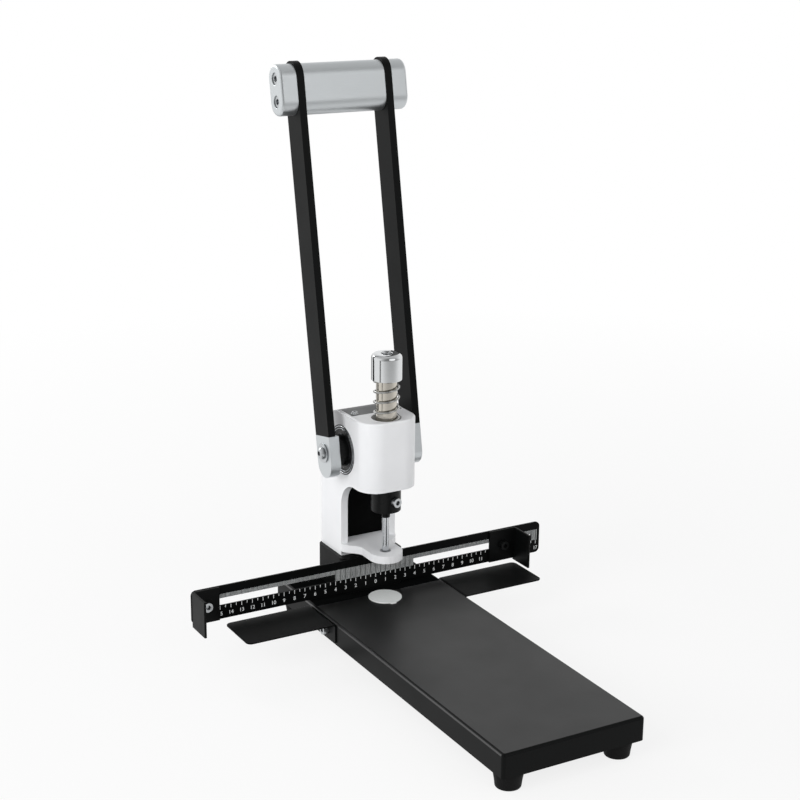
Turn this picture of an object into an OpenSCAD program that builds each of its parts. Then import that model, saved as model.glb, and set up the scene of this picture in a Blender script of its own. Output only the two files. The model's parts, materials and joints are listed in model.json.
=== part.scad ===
// Heavy duty single hole punch: a lever turns a pinion, the pinion drives a rack plunger
// with a hollow punch bit through a round-nosed stripper tongue on to a nylon cutting pad.
// Millimetres, +Z up, +Y to the back. The feet stand on z = 0.

/* [Base tray] */
// Width of the base tray
base_w = 128; // [120:1:150]
// Length of the base tray, front to back
base_l = 378; // [350:1:420]
// Height of the tray's skirt
skirt_h = 20; // [20:1:30]
// Thickness of the sheet steel of the tray, wings and covers
sheet_t = 2; // [1.5:0.1:2.4]
// Radius of the tray's upright corners
tray_r = 3; // [2.5:0.5:6]
// Rounding of the tray's folded top edge
tray_edge_r = 2.4; // [1:0.1:2.4]
// From the ruler's front face to the tray's back edge
back_reach = 68; // [62:1:76]

/* [Feet] */
// Height of a rubber foot
foot_h = 15; // [12:0.5:20]
// Width of a foot where it meets the tray
foot_d = 23.5; // [21:0.5:26]
// Width of a foot where it meets the table
foot_tip_d = 20; // [18:0.5:21]
// From the tray's edges to a foot's middle
foot_inset = 14.5; // [13.5:0.5:18]

/* [Cutting pad] */
// Width of the nylon cutting pad
pad_d = 29.5; // [26:0.5:34]
// Height of the pad's face above the tray
pad_proud = 0.8; // [0.5:0.1:3]
// Thickness of the anvil plate under the tray's top
anvil_t = 8; // [6:0.5:10]

/* [Pedestal] */
// Width of the pedestal
pedestal_w = 61.5; // [58:0.5:66]
// Depth of the pedestal, front to back
pedestal_d = 50.5; // [49:0.5:54]
// Height of the pedestal
pedestal_h = 33; // [31:0.5:40]
// Wall of the pedestal
pedestal_wall = 6; // [5:0.5:7]
// Radius of the pedestal's upright corners
pedestal_r = 7; // [5:0.5:9]
// Thickness of the pedestal's top
pedestal_roof = 8; // [6:0.5:10]

/* [Frame casting] */
// Width of the white frame casting
frame_w = 54; // [52:0.5:55.5]
// Thickness of the column's side walls
wall_t = 6.5; // [6:0.5:8]
// Depth of the column, front to back
column_d = 38; // [36:0.5:40]
// Step from the column's back to the pedestal's back
ledge = 2; // [1:0.5:3]
// Gap between the pedestal's top and the tongue's underside
tongue_lift = 4; // [3:0.5:6]
// Thickness of the stripper tongue
tongue_t = 7; // [6:0.5:9]
// Radius of the tongue's round nose
nose_r = 15; // [14:0.5:18]
// Bore in the tongue round the punch bit
nose_bore_d = 10; // [8:0.5:12]
// Open height of the throat, tongue to head
throat_h = 59.3; // [55:0.5:66]
// Height of the head
head_h = 62.3; // [61.5:0.1:66]
// From the punch axis to the head's front face
head_overhang = 15.3; // [15:0.1:18]
// Radius of the head's two front corners, seen from above
head_r = 17.5; // [14:0.5:19]
// Radius of the arch between column and head
arch_r = 22.5; // [14:0.5:24]
// Radius of the round back of the head
back_r = 36.5; // [33:0.5:38]
// Rounding of the head's top edge
edge_r = 1.6; // [1:0.1:2]

/* [Drive] */
// From the ruler's front face to the punch axis
gauge_depth = 19; // [17:0.5:24]
// Height of the shaft above the head's underside
shaft_up = 28.7; // [28.5:0.1:30]
// Width of the shaft in its bearings
shaft_d = 20; // [18:0.5:20.5]
// Module of pinion and rack
gear_m = 2; // [1.9:0.05:2]
// Number of teeth on the pinion
gear_teeth = 24; // [24:1:24]
// Face width of the pinion
gear_w = 24; // [20:0.5:24.5]
// From the punch axis to the rack's pitch line
rack_offset = 5.5; // [5:0.1:6]
// Outer width of a ball bearing
bearing_d = 44; // [41:0.5:45]
// Length of a ball bearing along the shaft
bearing_w = 12; // [11:0.5:12.5]

/* [Plunger] */
// Width of the rack plunger
plunger_d = 18; // [16:0.5:18]
// Outer width of the plunger's guide bushes
bush_d = 22; // [21:0.5:23]
// Width of the counterbore for the return spring
cbore_d = 26; // [25:0.5:27]
// Depth of the counterbore for the return spring
cbore_depth = 9; // [8.5:0.5:10]
// Width of the chrome cap
cap_d = 26.4; // [25.5:0.1:28]
// Height of the chrome cap
cap_h = 23; // [20:0.5:26]
// Outer width of the return spring
spring_d = 23; // [22.5:0.1:24]
// Wire of the return spring
spring_wire = 1.6; // [1.3:0.1:1.7]
// Turns of the return spring
spring_turns = 4.5; // [4:0.25:5]
// Width of the chuck
chuck_d = 26.4; // [24:0.1:28]
// Height of the chuck
chuck_h = 20.4; // [17:0.1:21]
// Turn of the chuck's clamp screw from the front towards the right, in degrees
chuck_turn = 9; // [0:1:60]
// Length of the chuck's neck around the bit
neck_l = 7; // [3:0.5:9]
// Width of the punch bit
bit_d = 6; // [4:0.5:7]

/* [Lever] */
// Lean of the lever towards the back at rest, in degrees
lean = 10.5; // [6:0.5:14]
// From the shaft to the middle of the grip
lever_len = 308.5; // [260:1:340]
// Width of an arm, front to back
arm_w = 24.4; // [24.2:0.2:28]
// Thickness of an arm
arm_t = 6.6; // [6:0.1:8]
// From one arm's outer face to the other's
lever_w = 90; // [86:0.5:96]
// Thickness of a hub
hub_t = 9.6; // [9:0.1:11]
// Width of a hub, front to back
hub_w = 25; // [24.6:0.2:30]
// Height of a hub above the shaft
hub_up = 14.5; // [13.5:0.5:18]
// Reach of a hub below the shaft
hub_down = 22; // [20:0.5:26]
// Depth of the grip's oval section, front to back
grip_d = 24; // [22:0.5:24.5]
// Height of the grip's oval section
grip_h = 43; // [40:0.5:48]
// Length of a grip end cap
grip_cap_l = 15; // [12:0.5:20]
// Rounding of a grip end cap's outer edge
grip_cap_r = 2.5; // [1:0.1:4]

/* [Ruler and stops] */
// Length of the ruler
ruler_l = 350; // [340:1:380]
// Height of the ruler
ruler_h = 30; // [28:0.5:32]
// Thickness of the ruler
ruler_t = 2; // [1.5:0.1:3]
// Gap under the ruler
ruler_lift = 3; // [2:0.5:4]
// Radius of the ruler's outer corners
ruler_r = 4.5; // [3:0.5:6]
// Inner end of each slot, from the ruler's middle
slot_in = 39.5; // [36:0.5:46]
// Material left between each slot and the ruler's end
slot_margin = 9; // [8:0.5:12]
// Height of a slot
slot_h = 6.6; // [6:0.1:7.5]
// Height of a slot's lower edge above the ruler's lower edge
slot_up = 12.2; // [10:0.1:13]
// Length of the left stop's plate along the ruler
left_stop_l = 24.5; // [22:0.5:30]
// Length of the right stop's plate along the ruler
right_stop_l = 28.5; // [22:0.5:32]
// Reach of a stop's flange to the front
stop_reach = 26; // [22:0.5:32]
// From the ruler's left end to the left stop's flange
left_stop_inset = 0.3; // [0.1:0.1:60]
// From the ruler's right end to the right stop's flange
right_stop_inset = 27.5; // [5:0.5:60]

/* [Side wings] */
// Reach of a wing beyond the tray's side
wing_w = 82; // [70:0.5:95]
// Depth of a wing, front to back
wing_d = 47; // [42:0.5:55]
// Thickness of a wing's sheet
wing_t = 1.2; // [1:0.1:1.6]
// Outer radius of the bend between a wing and its flange
wing_bend = 3; // [2:0.5:4]
// Drop of a wing's face below the tray's top
wing_drop = 1; // [0.5:0.1:2]
// Radius of a wing's outer corners
wing_r = 5; // [3:0.5:8]

/* [Fasteners] */
// Thread width of the feet, stop, wing and chuck screws
m5_d = 5; // [4.5:0.1:5.2]
// Thread width of the lever, grip and pedestal screws
m6_d = 6; // [5.5:0.1:6.2]
// Thread width of the cover screws
m3_d = 3; // [2.5:0.1:3.2]
// Thread width of the column bolts
m8_d = 8; // [7:0.1:8.5]

/* [Hidden] */
$fn = 64;
// Radial play of a running fit
run = 0.05;
// Radial play of a screw or a seated piece in its hole
slip = 0.1;
// Gap between flat faces that slide on each other
slide_gap = 0.1;
// Overrun of a cutting tool past the face that it cuts
over = 1;
// Head width and height of a socket screw, for its thread width
function head_w(d) = 1.65 * d;
function head_t(d) = 0.9 * d;
// Width over the corners of a nut or hex socket that is w across its flats
function hex_d(w) = w / cos(30);
function nut_w(d) = 1.6 * d;
function nut_t(d) = 0.8 * d;
function socket_w(d) = 0.8 * d;

// Heights
base_top = foot_h + skirt_h;
pad_top = base_top + pad_proud;
pedestal_top = base_top + pedestal_h;
tongue_bottom = pedestal_top + tongue_lift;
tongue_top = tongue_bottom + tongue_t;
head_bottom = tongue_top + throat_h;
head_top = head_bottom + head_h;
shaft_z = head_bottom + shaft_up;
ruler_z = base_top + ruler_lift;
slot_z = ruler_z + slot_up + slot_h / 2;
wing_top = base_top - wing_drop;
anvil_z = base_top - sheet_t - anvil_t;

// Lever: the grip's two screws stand on the middles of its round ends
grip_s = (grip_h - grip_d) / 2;
arm_lip = 2;
arm_end = lever_len + grip_s + arm_lip;
arm_in = lever_w / 2 - arm_t;
hub_in = lever_w / 2 - hub_t;
hub_arc = hub_down - hub_w / 2;

// Places from front to back, first from the ruler's face, then from the middle of the whole
pitch_r = gear_m * gear_teeth / 2;
shaft_off = rack_offset + pitch_r - gauge_depth;
arm_back = shaft_off + arm_end * sin(lean) + arm_w / 2;
ruler_y = (base_l - back_reach - max(back_reach, arm_back)) / 2;
base_front = ruler_y + back_reach - base_l;
base_mid = base_front + base_l / 2;
punch_y = ruler_y - gauge_depth;
shaft_y = ruler_y + shaft_off;
pedestal_front = ruler_y + ruler_t;
pedestal_back = pedestal_front + pedestal_d;
pedestal_mid = (pedestal_front + pedestal_back) / 2;
frame_back = pedestal_back - ledge;
column_front = frame_back - column_d;
head_front = punch_y - head_overhang;
column_in = frame_w / 2 - wall_t;

// Pinion, bearings and the chamber round them
gear_r = pitch_r + gear_m;
gear_root = pitch_r - 1.25 * gear_m;
gear_room = 1;
backlash = 0.16;
bearing_seat = frame_w / 2 - bearing_w;
bearing_lip = 3;
pinion_w = min(gear_w, 2 * (bearing_seat - 3));
boss_in = pinion_w / 2 + 1.5;
boss_r = bearing_d / 2 + 4.3;
shelf_z = shaft_z + gear_r + 1.5;
chamber_floor = shaft_z - gear_r - gear_room;
chamber_web = 3.3;
chamber_front = shaft_y - boss_in * 0.7;
shelf_back = chamber_front + 8;
cover_w = column_in * 2 + 8;
cover_front = chamber_front - 4;
throat_depth = 12;
ball_d = 6.35;
ball_ring = (shaft_d + bearing_d) / 4;
ball_count = 9;
ring_in = ball_ring - 2.5;
ring_out = ball_ring + 2.5;
spacer_r = ring_in;

// Plunger and what hangs on it; the stroke ends just above the pad
tip_z = tongue_bottom - 2.7;
stroke = tip_z - pad_top - 0.3;
cap_bottom = head_top + stroke + 0.6;
cap_bore = 15;
cap_sink = 3.6;
plunger_top = cap_bottom + cap_bore;
chuck_top = head_bottom - 0.5;
chuck_bottom = chuck_top - chuck_h;
chuck_mid = chuck_bottom + chuck_h / 2;
spigot_l = 5.5;
spigot_d = 11;
neck_d = bit_d + 1.4;
bit_top = chuck_top - spigot_l - 0.3;
bit_bore = bit_d - 1.6;
spring_seat = head_top - cbore_depth;
bush_low_top = shaft_z - sqrt(pow(gear_r + gear_room, 2) - pow(rack_offset + pitch_r - bush_d / 2, 2));
bush_high_bottom = shaft_z + sqrt(pow(gear_r + gear_room, 2) - pow(rack_offset + pitch_r - bush_d / 2, 2));

// Stops: each has a clamp screw through the slot into a nut behind the ruler
left_stop_x = ruler_l / 2 - left_stop_inset;
right_stop_x = ruler_l / 2 - right_stop_inset;
stop_h = ruler_h;
stop_drop = ruler_lift - 1;
stop_nut_l = 12;
stop_nut_h = 11;
stop_nut_t = 4;

// Screw places
foot_x = base_w / 2 - foot_inset;
foot_spread = base_l / 2 - foot_inset;
pedestal_bolt_x = pedestal_w / 2 - pedestal_wall - 3;
pedestal_bolt_y = pedestal_d / 2 - pedestal_wall - 3;
column_bolt_x = 12;
pedestal_boss_r = m6_d / 2 + 3.5;
stud_x = pedestal_bolt_x - pedestal_boss_r - hex_d(nut_w(m5_d)) / 2 - 1;
stud_z = pedestal_top - pedestal_roof - 9;
cover_screw_x = column_in - 1.5;
cover_screw_y = cover_front + 5.5;
cover_low_z = tongue_top + 8;
cover_low_x = column_in + 2;
wing_screws_y = [13, 31];
wing_flange_drop = skirt_h - 3;
wing_back = ruler_y - 2;
wing_screw_z = wing_top - (wing_flange_drop + wing_bend) / 2;
arm_tang_t = 4;
arm_tang_w = 18;
arm_tang_l = 6.5;
hub_spigot_d = 12;
hub_spigot_flat = 10;
washer_d = 17;
washer_t = 1.2;
arm_pin_d = 3;
key_w = 6;

// Upright plate outline with round corners, and the solid on it
module rounded_rect(w, l, r) {
    square([w - 2 * r, l], center = true);
    square([w, l - 2 * r], center = true);
    for (sx = [-1, 1], sy = [-1, 1])
        translate([sx * (w / 2 - r), sy * (l / 2 - r)]) circle(r);
}

module rounded_box(w, l, h, r) {
    linear_extrude(h) rounded_rect(w, l, r);
}

// The same solid with its top edge rounded to radius e
module soft_top_box(w, l, h, r, e) {
    linear_extrude(h - e) rounded_rect(w, l, r);
    linear_extrude(h) rounded_rect(w - 2 * e, l - 2 * e, r - e);
    for (s = [-1, 1]) {
        translate([r - w / 2, s * (l / 2 - e), h - e]) x_rod(0, w - 2 * r, 2 * e);
        translate([s * (w / 2 - e), r - l / 2, h - e]) rotate([-90, 0, 0]) cylinder(r = e, h = l - 2 * r);
    }
    for (sx = [-1, 1], sy = [-1, 1]) translate([sx * (w / 2 - r), sy * (l / 2 - r), h - e])
        rotate_extrude() translate([r - e, 0]) circle(e);
}

// A cylinder along X from x0 to x1
module x_rod(x0, x1, d) {
    translate([min(x0, x1), 0, 0]) rotate([0, 90, 0]) cylinder(d = d, h = abs(x1 - x0));
}

// A shape drawn in the YZ plane, made solid along X from x0 to x1
module x_prism(x0, x1) {
    translate([min(x0, x1), 0, 0]) rotate([90, 0, 90]) linear_extrude(abs(x1 - x0)) children();
}

// A socket screw with a low domed head, standing on z = 0: head up, thread down
module button_screw(d, l) {
    head_h = 0.58 * d;
    difference() {
        union() {
            rotate_extrude() polygon([[0, 0], [0.88 * d, 0], [0.88 * d, 0.16 * d], [0.82 * d, 0.32 * d],
                                      [0.7 * d, 0.46 * d], [0.52 * d, head_h], [0, head_h]]);
            translate([0, 0, -l]) cylinder(d = d, h = l + head_h / 2);
        }
        translate([0, 0, head_h - 0.36 * d]) cylinder(d = hex_d(0.66 * d), h = d, $fn = 6);
    }
}

// A socket screw standing on z = 0: head up, thread down
module socket_screw(d, l) {
    difference() {
        union() {
            cylinder(d = head_w(d), h = head_t(d));
            translate([0, 0, -l]) cylinder(d = d, h = l + head_t(d) / 2);
        }
        translate([0, 0, head_t(d) / 2]) cylinder(d = hex_d(socket_w(d)), h = head_t(d), $fn = 6);
    }
}

// A hexagon nut on z = 0 with a free hole
module hex_nut(d) {
    difference() {
        cylinder(d = hex_d(nut_w(d)), h = nut_t(d), $fn = 6);
        translate([0, 0, -over]) cylinder(d = d + 2 * slip, h = nut_t(d) + 2 * over);
    }
}

// A low round-headed screw with a cross slot, standing on z = 0
module cross_screw(d, l) {
    head = 2.2 * d;
    high = 0.6 * d;
    difference() {
        union() {
            cylinder(d1 = head, d2 = 0.7 * head, h = high);
            translate([0, 0, -l]) cylinder(d = d, h = l + high / 2);
        }
        for (a = [0, 90]) rotate(a) translate([0, 0, high])
            cube([0.55 * head, 0.16 * head, high], center = true);
    }
}

module at_feet() {
    for (sx = [-1, 1], sy = [-1, 1]) translate([sx * foot_x, base_mid + sy * foot_spread, 0]) children();
}

module at_pedestal_bolts() {
    for (sx = [-1, 1], sy = [-1, 1])
        translate([sx * pedestal_bolt_x, pedestal_mid + sy * pedestal_bolt_y, 0]) children();
}

module at_column_bolts() {
    for (sx = [-1, 1]) translate([sx * column_bolt_x, pedestal_mid, 0]) children();
}

module at_ruler_studs() {
    for (sx = [-1, 1]) translate([sx * stud_x, pedestal_front, stud_z]) rotate([-90, 0, 0]) children();
}

module at_wing_screws(side) {
    for (dy = wing_screws_y)
        translate([side * (base_w / 2 + wing_t), wing_back - dy, wing_screw_z])
            rotate([0, side * 90, 0]) children();
}

module at_shaft() {
    translate([0, shaft_y, shaft_z]) children();
}

module at_lever() {
    at_shaft() rotate([-lean, 0, 0]) children();
}

module at_grip_screws() {
    for (sz = [-1, 1]) translate([0, 0, lever_len + sz * grip_s]) children();
}

// Base
module base_tray() color("#1c1d1e") difference() {
    union() {
        translate([0, base_mid, foot_h]) difference() {
            soft_top_box(base_w, base_l, skirt_h, tray_r, tray_edge_r);
            translate([0, 0, -over])
                rounded_box(base_w - 2 * sheet_t, base_l - 2 * sheet_t, skirt_h - sheet_t + over,
                            tray_r - sheet_t / 2);
        }
        intersection() {
            translate([0, base_mid, foot_h]) rounded_box(base_w, base_l, sheet_t, tray_r);
            at_feet() translate([0, 0, foot_h + sheet_t / 2])
                cube([foot_inset * 2, foot_inset * 2, sheet_t], center = true);
        }
    }
    translate([0, punch_y, base_top - sheet_t - over]) cylinder(d = pad_d + 2 * slip, h = sheet_t + 2 * over);
    at_pedestal_bolts() translate([0, 0, base_top - sheet_t - over])
        cylinder(d = m6_d + 2 * slip, h = sheet_t + 2 * over);
    at_feet() translate([0, 0, foot_h - over]) cylinder(d = m5_d + 2 * slip, h = sheet_t + 2 * over);
    for (side = [-1, 1]) at_wing_screws(side) translate([0, 0, -wing_t - sheet_t - over])
        cylinder(d = m5_d + 2 * slip, h = wing_t + sheet_t + 2 * over);
}

module anvil_plate() color("#8f9396") difference() {
    plate_front = punch_y - pad_d / 2 - 6;
    plate_l = pedestal_back - plate_front;
    translate([0, plate_front + plate_l / 2, anvil_z]) rounded_box(pedestal_w, plate_l, anvil_t, 4);
    at_pedestal_bolts() translate([0, 0, anvil_z - over]) cylinder(d = m6_d + 2 * slip, h = anvil_t + 2 * over);
}

module cutting_pad() color("#e6e8e6")
    translate([0, punch_y, base_top - sheet_t]) rotate_extrude()
        polygon([[0, 0], [pad_d / 2, 0], [pad_d / 2, sheet_t + pad_proud * 0.7],
                 [pad_d / 2 - pad_proud * 0.3, sheet_t + pad_proud], [0, sheet_t + pad_proud]]);

foot_recess = foot_h * 0.5;
foot_recess_d = head_w(m5_d) + 2;

module rubber_feet() color("#151515") at_feet() rotate_extrude()
    polygon([[m5_d / 2 + slip, foot_recess], [foot_recess_d / 2, foot_recess], [foot_recess_d / 2, 0],
             [foot_tip_d / 2 - 1.5, 0], [foot_tip_d / 2, 1.5], [foot_d / 2, foot_h - 2],
             [foot_d / 2, foot_h], [m5_d / 2 + slip, foot_h]]);

module foot_screws() color("#9a9da0") at_feet() translate([0, 0, foot_recess]) mirror([0, 0, 1])
    socket_screw(m5_d, foot_h - foot_recess + sheet_t + nut_t(m5_d));

module foot_nuts() color("#9a9da0") at_feet() translate([0, 0, foot_h + sheet_t]) hex_nut(m5_d);

// Pedestal between the tray and the casting
pedestal_thread = 16;

module pedestal() color("#1c1d1e") difference() {
    translate([0, pedestal_mid, base_top]) rounded_box(pedestal_w, pedestal_d, pedestal_h, pedestal_r);
    difference() {
        translate([0, pedestal_mid, base_top - over])
            rounded_box(pedestal_w - 2 * pedestal_wall, pedestal_d - 2 * pedestal_wall,
                        pedestal_h - pedestal_roof + over, pedestal_r / 3);
        at_pedestal_bolts() translate([0, 0, base_top - 2 * over]) cylinder(r = pedestal_boss_r, h = pedestal_h);
    }
    at_pedestal_bolts() translate([0, 0, base_top - over])
        cylinder(d = m6_d + 2 * slip, h = pedestal_thread + over);
    at_column_bolts() translate([0, 0, pedestal_top - pedestal_roof - over])
        cylinder(d = m8_d + 2 * slip, h = pedestal_roof + 2 * over);
    at_ruler_studs() translate([0, 0, -over]) cylinder(d = m5_d + 2 * slip, h = pedestal_wall + 2 * over);
}

module pedestal_bolts() color("#2b2c2d") at_pedestal_bolts() translate([0, 0, anvil_z]) mirror([0, 0, 1])
    socket_screw(m6_d, anvil_t + sheet_t + pedestal_thread - 1);

column_thread = (tongue_top - pedestal_top) - 2;

module column_bolts() color("#2b2c2d") at_column_bolts() translate([0, 0, pedestal_top - pedestal_roof])
    mirror([0, 0, 1]) socket_screw(m8_d, pedestal_roof + column_thread - 0.5);

// White frame casting: column, tongue and head in one piece
module frame_side() {
    difference() {
        union() {
            translate([column_front, pedestal_top]) square([column_d, head_top - back_r - pedestal_top]);
            translate([head_front, head_bottom]) square([frame_back - head_front, head_h - back_r]);
            translate([head_front, head_bottom]) square([frame_back - back_r - head_front, head_h]);
            translate([frame_back - back_r, head_top - back_r]) circle(back_r, $fn = 128);
            translate([column_front - arch_r, head_bottom - arch_r]) square(arch_r + over);
        }
        translate([column_front - arch_r, head_bottom - arch_r]) circle(arch_r);
    }
}

// The head seen from above has two round front corners, and its top edge is rounded
module frame_envelope() {
    corner_x = frame_w / 2 - head_r;
    corner_y = head_front + head_r;
    mid_z = head_top - edge_r;
    side_l = frame_back - corner_y;
    module plan(inset) {
        translate([inset - frame_w / 2, corner_y]) square([frame_w - 2 * inset, side_l]);
        translate([-corner_x, head_front + inset]) square([2 * corner_x, head_r]);
        for (sx = [-1, 1]) translate([sx * corner_x, corner_y]) circle(head_r - inset);
    }
    translate([0, 0, pedestal_top]) linear_extrude(mid_z - pedestal_top) plan(0);
    translate([0, 0, pedestal_top]) linear_extrude(head_top - pedestal_top) plan(edge_r);
    translate([0, head_front + edge_r, mid_z]) x_rod(-corner_x, corner_x, 2 * edge_r);
    for (sx = [-1, 1]) {
        translate([sx * (frame_w / 2 - edge_r), corner_y, mid_z]) rotate([-90, 0, 0])
            cylinder(r = edge_r, h = side_l);
        translate([sx * corner_x, corner_y, mid_z]) rotate_extrude()
            translate([head_r - edge_r, 0]) circle(edge_r);
    }
}

// Half width of the tongue at y: a smooth blend from the column's width to the nose
blend_front = punch_y + 14;
function tongue_half(y) = nose_r + (frame_w / 2 - nose_r)
    * (1 - cos(180 * max(0, y - blend_front) / (column_front - blend_front))) / 2;
tongue_steps = 10;

module tongue() {
    ys = [for (i = [0:tongue_steps]) blend_front + (column_front - blend_front) * i / tongue_steps];
    translate([0, 0, tongue_bottom]) linear_extrude(tongue_t) {
        translate([0, punch_y]) circle(nose_r);
        translate([-nose_r, punch_y]) square([2 * nose_r, blend_front - punch_y]);
        polygon(concat([for (y = ys) [tongue_half(y), y]],
                       [[frame_w / 2, column_front + over], [-frame_w / 2, column_front + over]],
                       [for (i = [tongue_steps:-1:0]) [-tongue_half(ys[i]), ys[i]]]));
    }
}

// Outline of the bent rear cover in the YZ plane: over the top, round the back and down.
// Its rebate runs past the frame's faces.
module cover_side(thick, past = 0) {
    inner_r = back_r - thick;
    translate([cover_front, head_top - thick]) square([frame_back - back_r - cover_front + past, thick + past]);
    translate([frame_back - thick, tongue_top]) square([thick + past, head_top - back_r - tongue_top + past]);
    intersection() {
        difference() {
            translate([frame_back - back_r, head_top - back_r]) circle(back_r + past, $fn = 128);
            translate([frame_back - back_r, head_top - back_r]) circle(inner_r, $fn = 128);
        }
        translate([frame_back - back_r, head_top - back_r]) square(back_r + past + over);
    }
}

module at_cover_screws() {
    for (sx = [-1, 1]) {
        translate([sx * cover_screw_x, cover_screw_y, head_top]) children();
        translate([sx * cover_low_x, frame_back, cover_low_z]) rotate([-90, 0, 0]) children();
    }
}

cover_screw_l = 7;

module head_frame() color("#eeeef0") difference() {
    union() {
        intersection() {
            x_prism(-frame_w / 2, frame_w / 2) frame_side();
            frame_envelope();
        }
        tongue();
    }
    // hollow column, open to the throat in front and to the cover behind
    translate([-column_in, column_front - arch_r - over, tongue_top])
        cube([2 * column_in, column_d + arch_r + 2 * over, chamber_floor - chamber_web - tongue_top]);
    // pinion chamber with a bearing boss on each side
    difference() {
        union() {
            translate([-column_in, chamber_front, chamber_floor])
                cube([2 * column_in, frame_back - chamber_front + over, shelf_z - chamber_floor]);
            translate([-column_in, shelf_back, shelf_z - over])
                cube([2 * column_in, frame_back - shelf_back + over, head_top - shelf_z + 2 * over]);
        }
        at_shaft() for (sx = [-1, 1]) x_rod(sx * boss_in, sx * frame_w / 2, 2 * boss_r);
    }
    at_shaft() {
        x_rod(-boss_in, boss_in, 2 * (gear_r + gear_room));
        for (sx = [-1, 1]) x_rod(sx * bearing_seat, sx * (frame_w / 2 + over), bearing_d + 2 * slip);
        x_rod(-frame_w / 2, frame_w / 2, bearing_d - 2 * bearing_lip);
    }
    // rebate for the rear cover
    x_prism(-cover_w / 2 - slip, cover_w / 2 + slip) cover_side(sheet_t + run, over);
    // plunger bore and spring counterbore
    translate([0, punch_y, head_bottom - over]) cylinder(d = bush_d + 2 * slip, h = head_h + over);
    translate([0, punch_y, spring_seat]) cylinder(d = cbore_d, h = cbore_depth + over);
    translate([0, punch_y, tongue_bottom - over]) cylinder(d = nose_bore_d, h = tongue_t + 2 * over);
    at_column_bolts() translate([0, 0, pedestal_top - over])
        cylinder(d = m8_d + 2 * slip, h = column_thread + over);
    at_cover_screws() translate([0, 0, -sheet_t - cover_screw_l])
        cylinder(d = m3_d + 2 * slip, h = cover_screw_l + sheet_t + over);
}

module throat_panel() color("#0d0d0e")
    translate([-column_in, column_front + throat_depth, tongue_top])
        cube([2 * column_in, sheet_t, chamber_floor - chamber_web - tongue_top]);

module rear_cover() color("#3c3e3f") difference() {
    x_prism(-cover_w / 2, cover_w / 2) cover_side(sheet_t);
    at_cover_screws() translate([0, 0, -sheet_t - over]) cylinder(d = m3_d + 2 * slip, h = sheet_t + 2 * over);
}

module cover_screws() color("#b9bcbe") at_cover_screws() cross_screw(m3_d, cover_screw_l);

// Ball bearings: the outer rings, balls and seals stay, the inner rings turn
groove_r = ball_d / 2 + run;

module outer_ring(side) at_shaft() translate([side * (bearing_seat + bearing_w / 2), 0, 0]) rotate([0, 90, 0])
    rotate_extrude() difference() {
        translate([ring_out, -bearing_w / 2]) square([bearing_d / 2 - ring_out, bearing_w]);
        translate([ball_ring, 0]) circle(groove_r);
    }

module inner_ring(side) at_shaft() translate([side * (bearing_seat + bearing_w / 2), 0, 0]) rotate([0, 90, 0])
    rotate_extrude() difference() {
        translate([shaft_d / 2 + run, -bearing_w / 2]) square([ring_in - shaft_d / 2 - run, bearing_w]);
        translate([ball_ring, 0]) circle(groove_r);
    }

module balls(side) at_shaft() translate([side * (bearing_seat + bearing_w / 2), 0, 0])
    for (i = [0:ball_count - 1]) rotate([360 * i / ball_count, 0, 0])
        translate([0, 0, ball_ring]) sphere(d = ball_d);

module left_bearing_outer() color("#c3c7ca") outer_ring(-1);
module right_bearing_outer() color("#c3c7ca") outer_ring(1);
module left_bearing_inner() color("#c3c7ca") inner_ring(-1);
module right_bearing_inner() color("#c3c7ca") inner_ring(1);
module left_bearing_balls() color("#d5d8da") balls(-1);
module right_bearing_balls() color("#d5d8da") balls(1);

seal_t = 1;
seal_in = ring_in + 0.4;

module bearing_seals() color("#19191a") at_shaft() for (side = [-1, 1], face = [-1, 1])
    translate([side * (bearing_seat + bearing_w / 2) + face * (bearing_w / 2 - seal_t), 0, 0]) rotate([0, 90, 0])
        difference() {
            cylinder(r = ring_out - run, h = seal_t, center = true);
            cylinder(r = seal_in, h = 2 * seal_t, center = true);
        }

// Plunger guides
module guide_bush(z0, z1) translate([0, punch_y, z0]) difference() {
    cylinder(d = bush_d, h = z1 - z0);
    translate([0, 0, -over]) cylinder(d = plunger_d + 2 * run, h = z1 - z0 + 2 * over);
}

module lower_bush() color("#b08d4f") guide_bush(head_bottom + 0.3, bush_low_top);
module upper_bush() color("#b08d4f") guide_bush(bush_high_bottom, spring_seat);

// Ruler with its studs
module ruler() color("#141414") difference() {
    translate([0, ruler_y + ruler_t, ruler_z + ruler_h / 2]) rotate([90, 0, 0])
        rounded_box(ruler_l, ruler_h, ruler_t, ruler_r);
    slot_l = ruler_l / 2 - slot_margin - slot_in;
    for (sx = [-1, 1]) translate([sx * (slot_in + slot_l / 2), ruler_y + ruler_t / 2, slot_z])
        cube([slot_l, 2 * ruler_t, slot_h], center = true);
}

module ruler_studs() color("#9a9da0") at_ruler_studs() cylinder(d = m5_d, h = pedestal_wall + nut_t(m5_d) + 2);

module ruler_nuts() color("#9a9da0") at_ruler_studs() translate([0, 0, pedestal_wall]) hex_nut(m5_d);

// Side wings: a flat leaf with round outer corners, bent down to a flange on the tray's side
module wing_section() {
    translate([wing_bend, -wing_t]) square([wing_w - wing_bend, wing_t]);
    translate([0, -wing_flange_drop]) square([wing_t, wing_flange_drop - wing_bend]);
    intersection() {
        translate([wing_bend, -wing_bend]) difference() {
            circle(wing_bend);
            circle(wing_bend - wing_t);
        }
        translate([0, -wing_bend]) square(wing_bend);
    }
}

module wing(side) difference() {
    intersection() {
        translate([side * base_w / 2, wing_back, wing_top]) mirror([side < 0 ? 1 : 0, 0, 0])
            rotate([90, 0, 0]) linear_extrude(wing_d) wing_section();
        translate([side * base_w / 2, wing_back - wing_d / 2, wing_top - skirt_h])
            rounded_box(2 * wing_w, wing_d, skirt_h + over, wing_r);
    }
    at_wing_screws(side) translate([0, 0, -wing_t - over])
        cylinder(d = m5_d + 2 * slip, h = wing_t + 2 * over);
}

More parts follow.
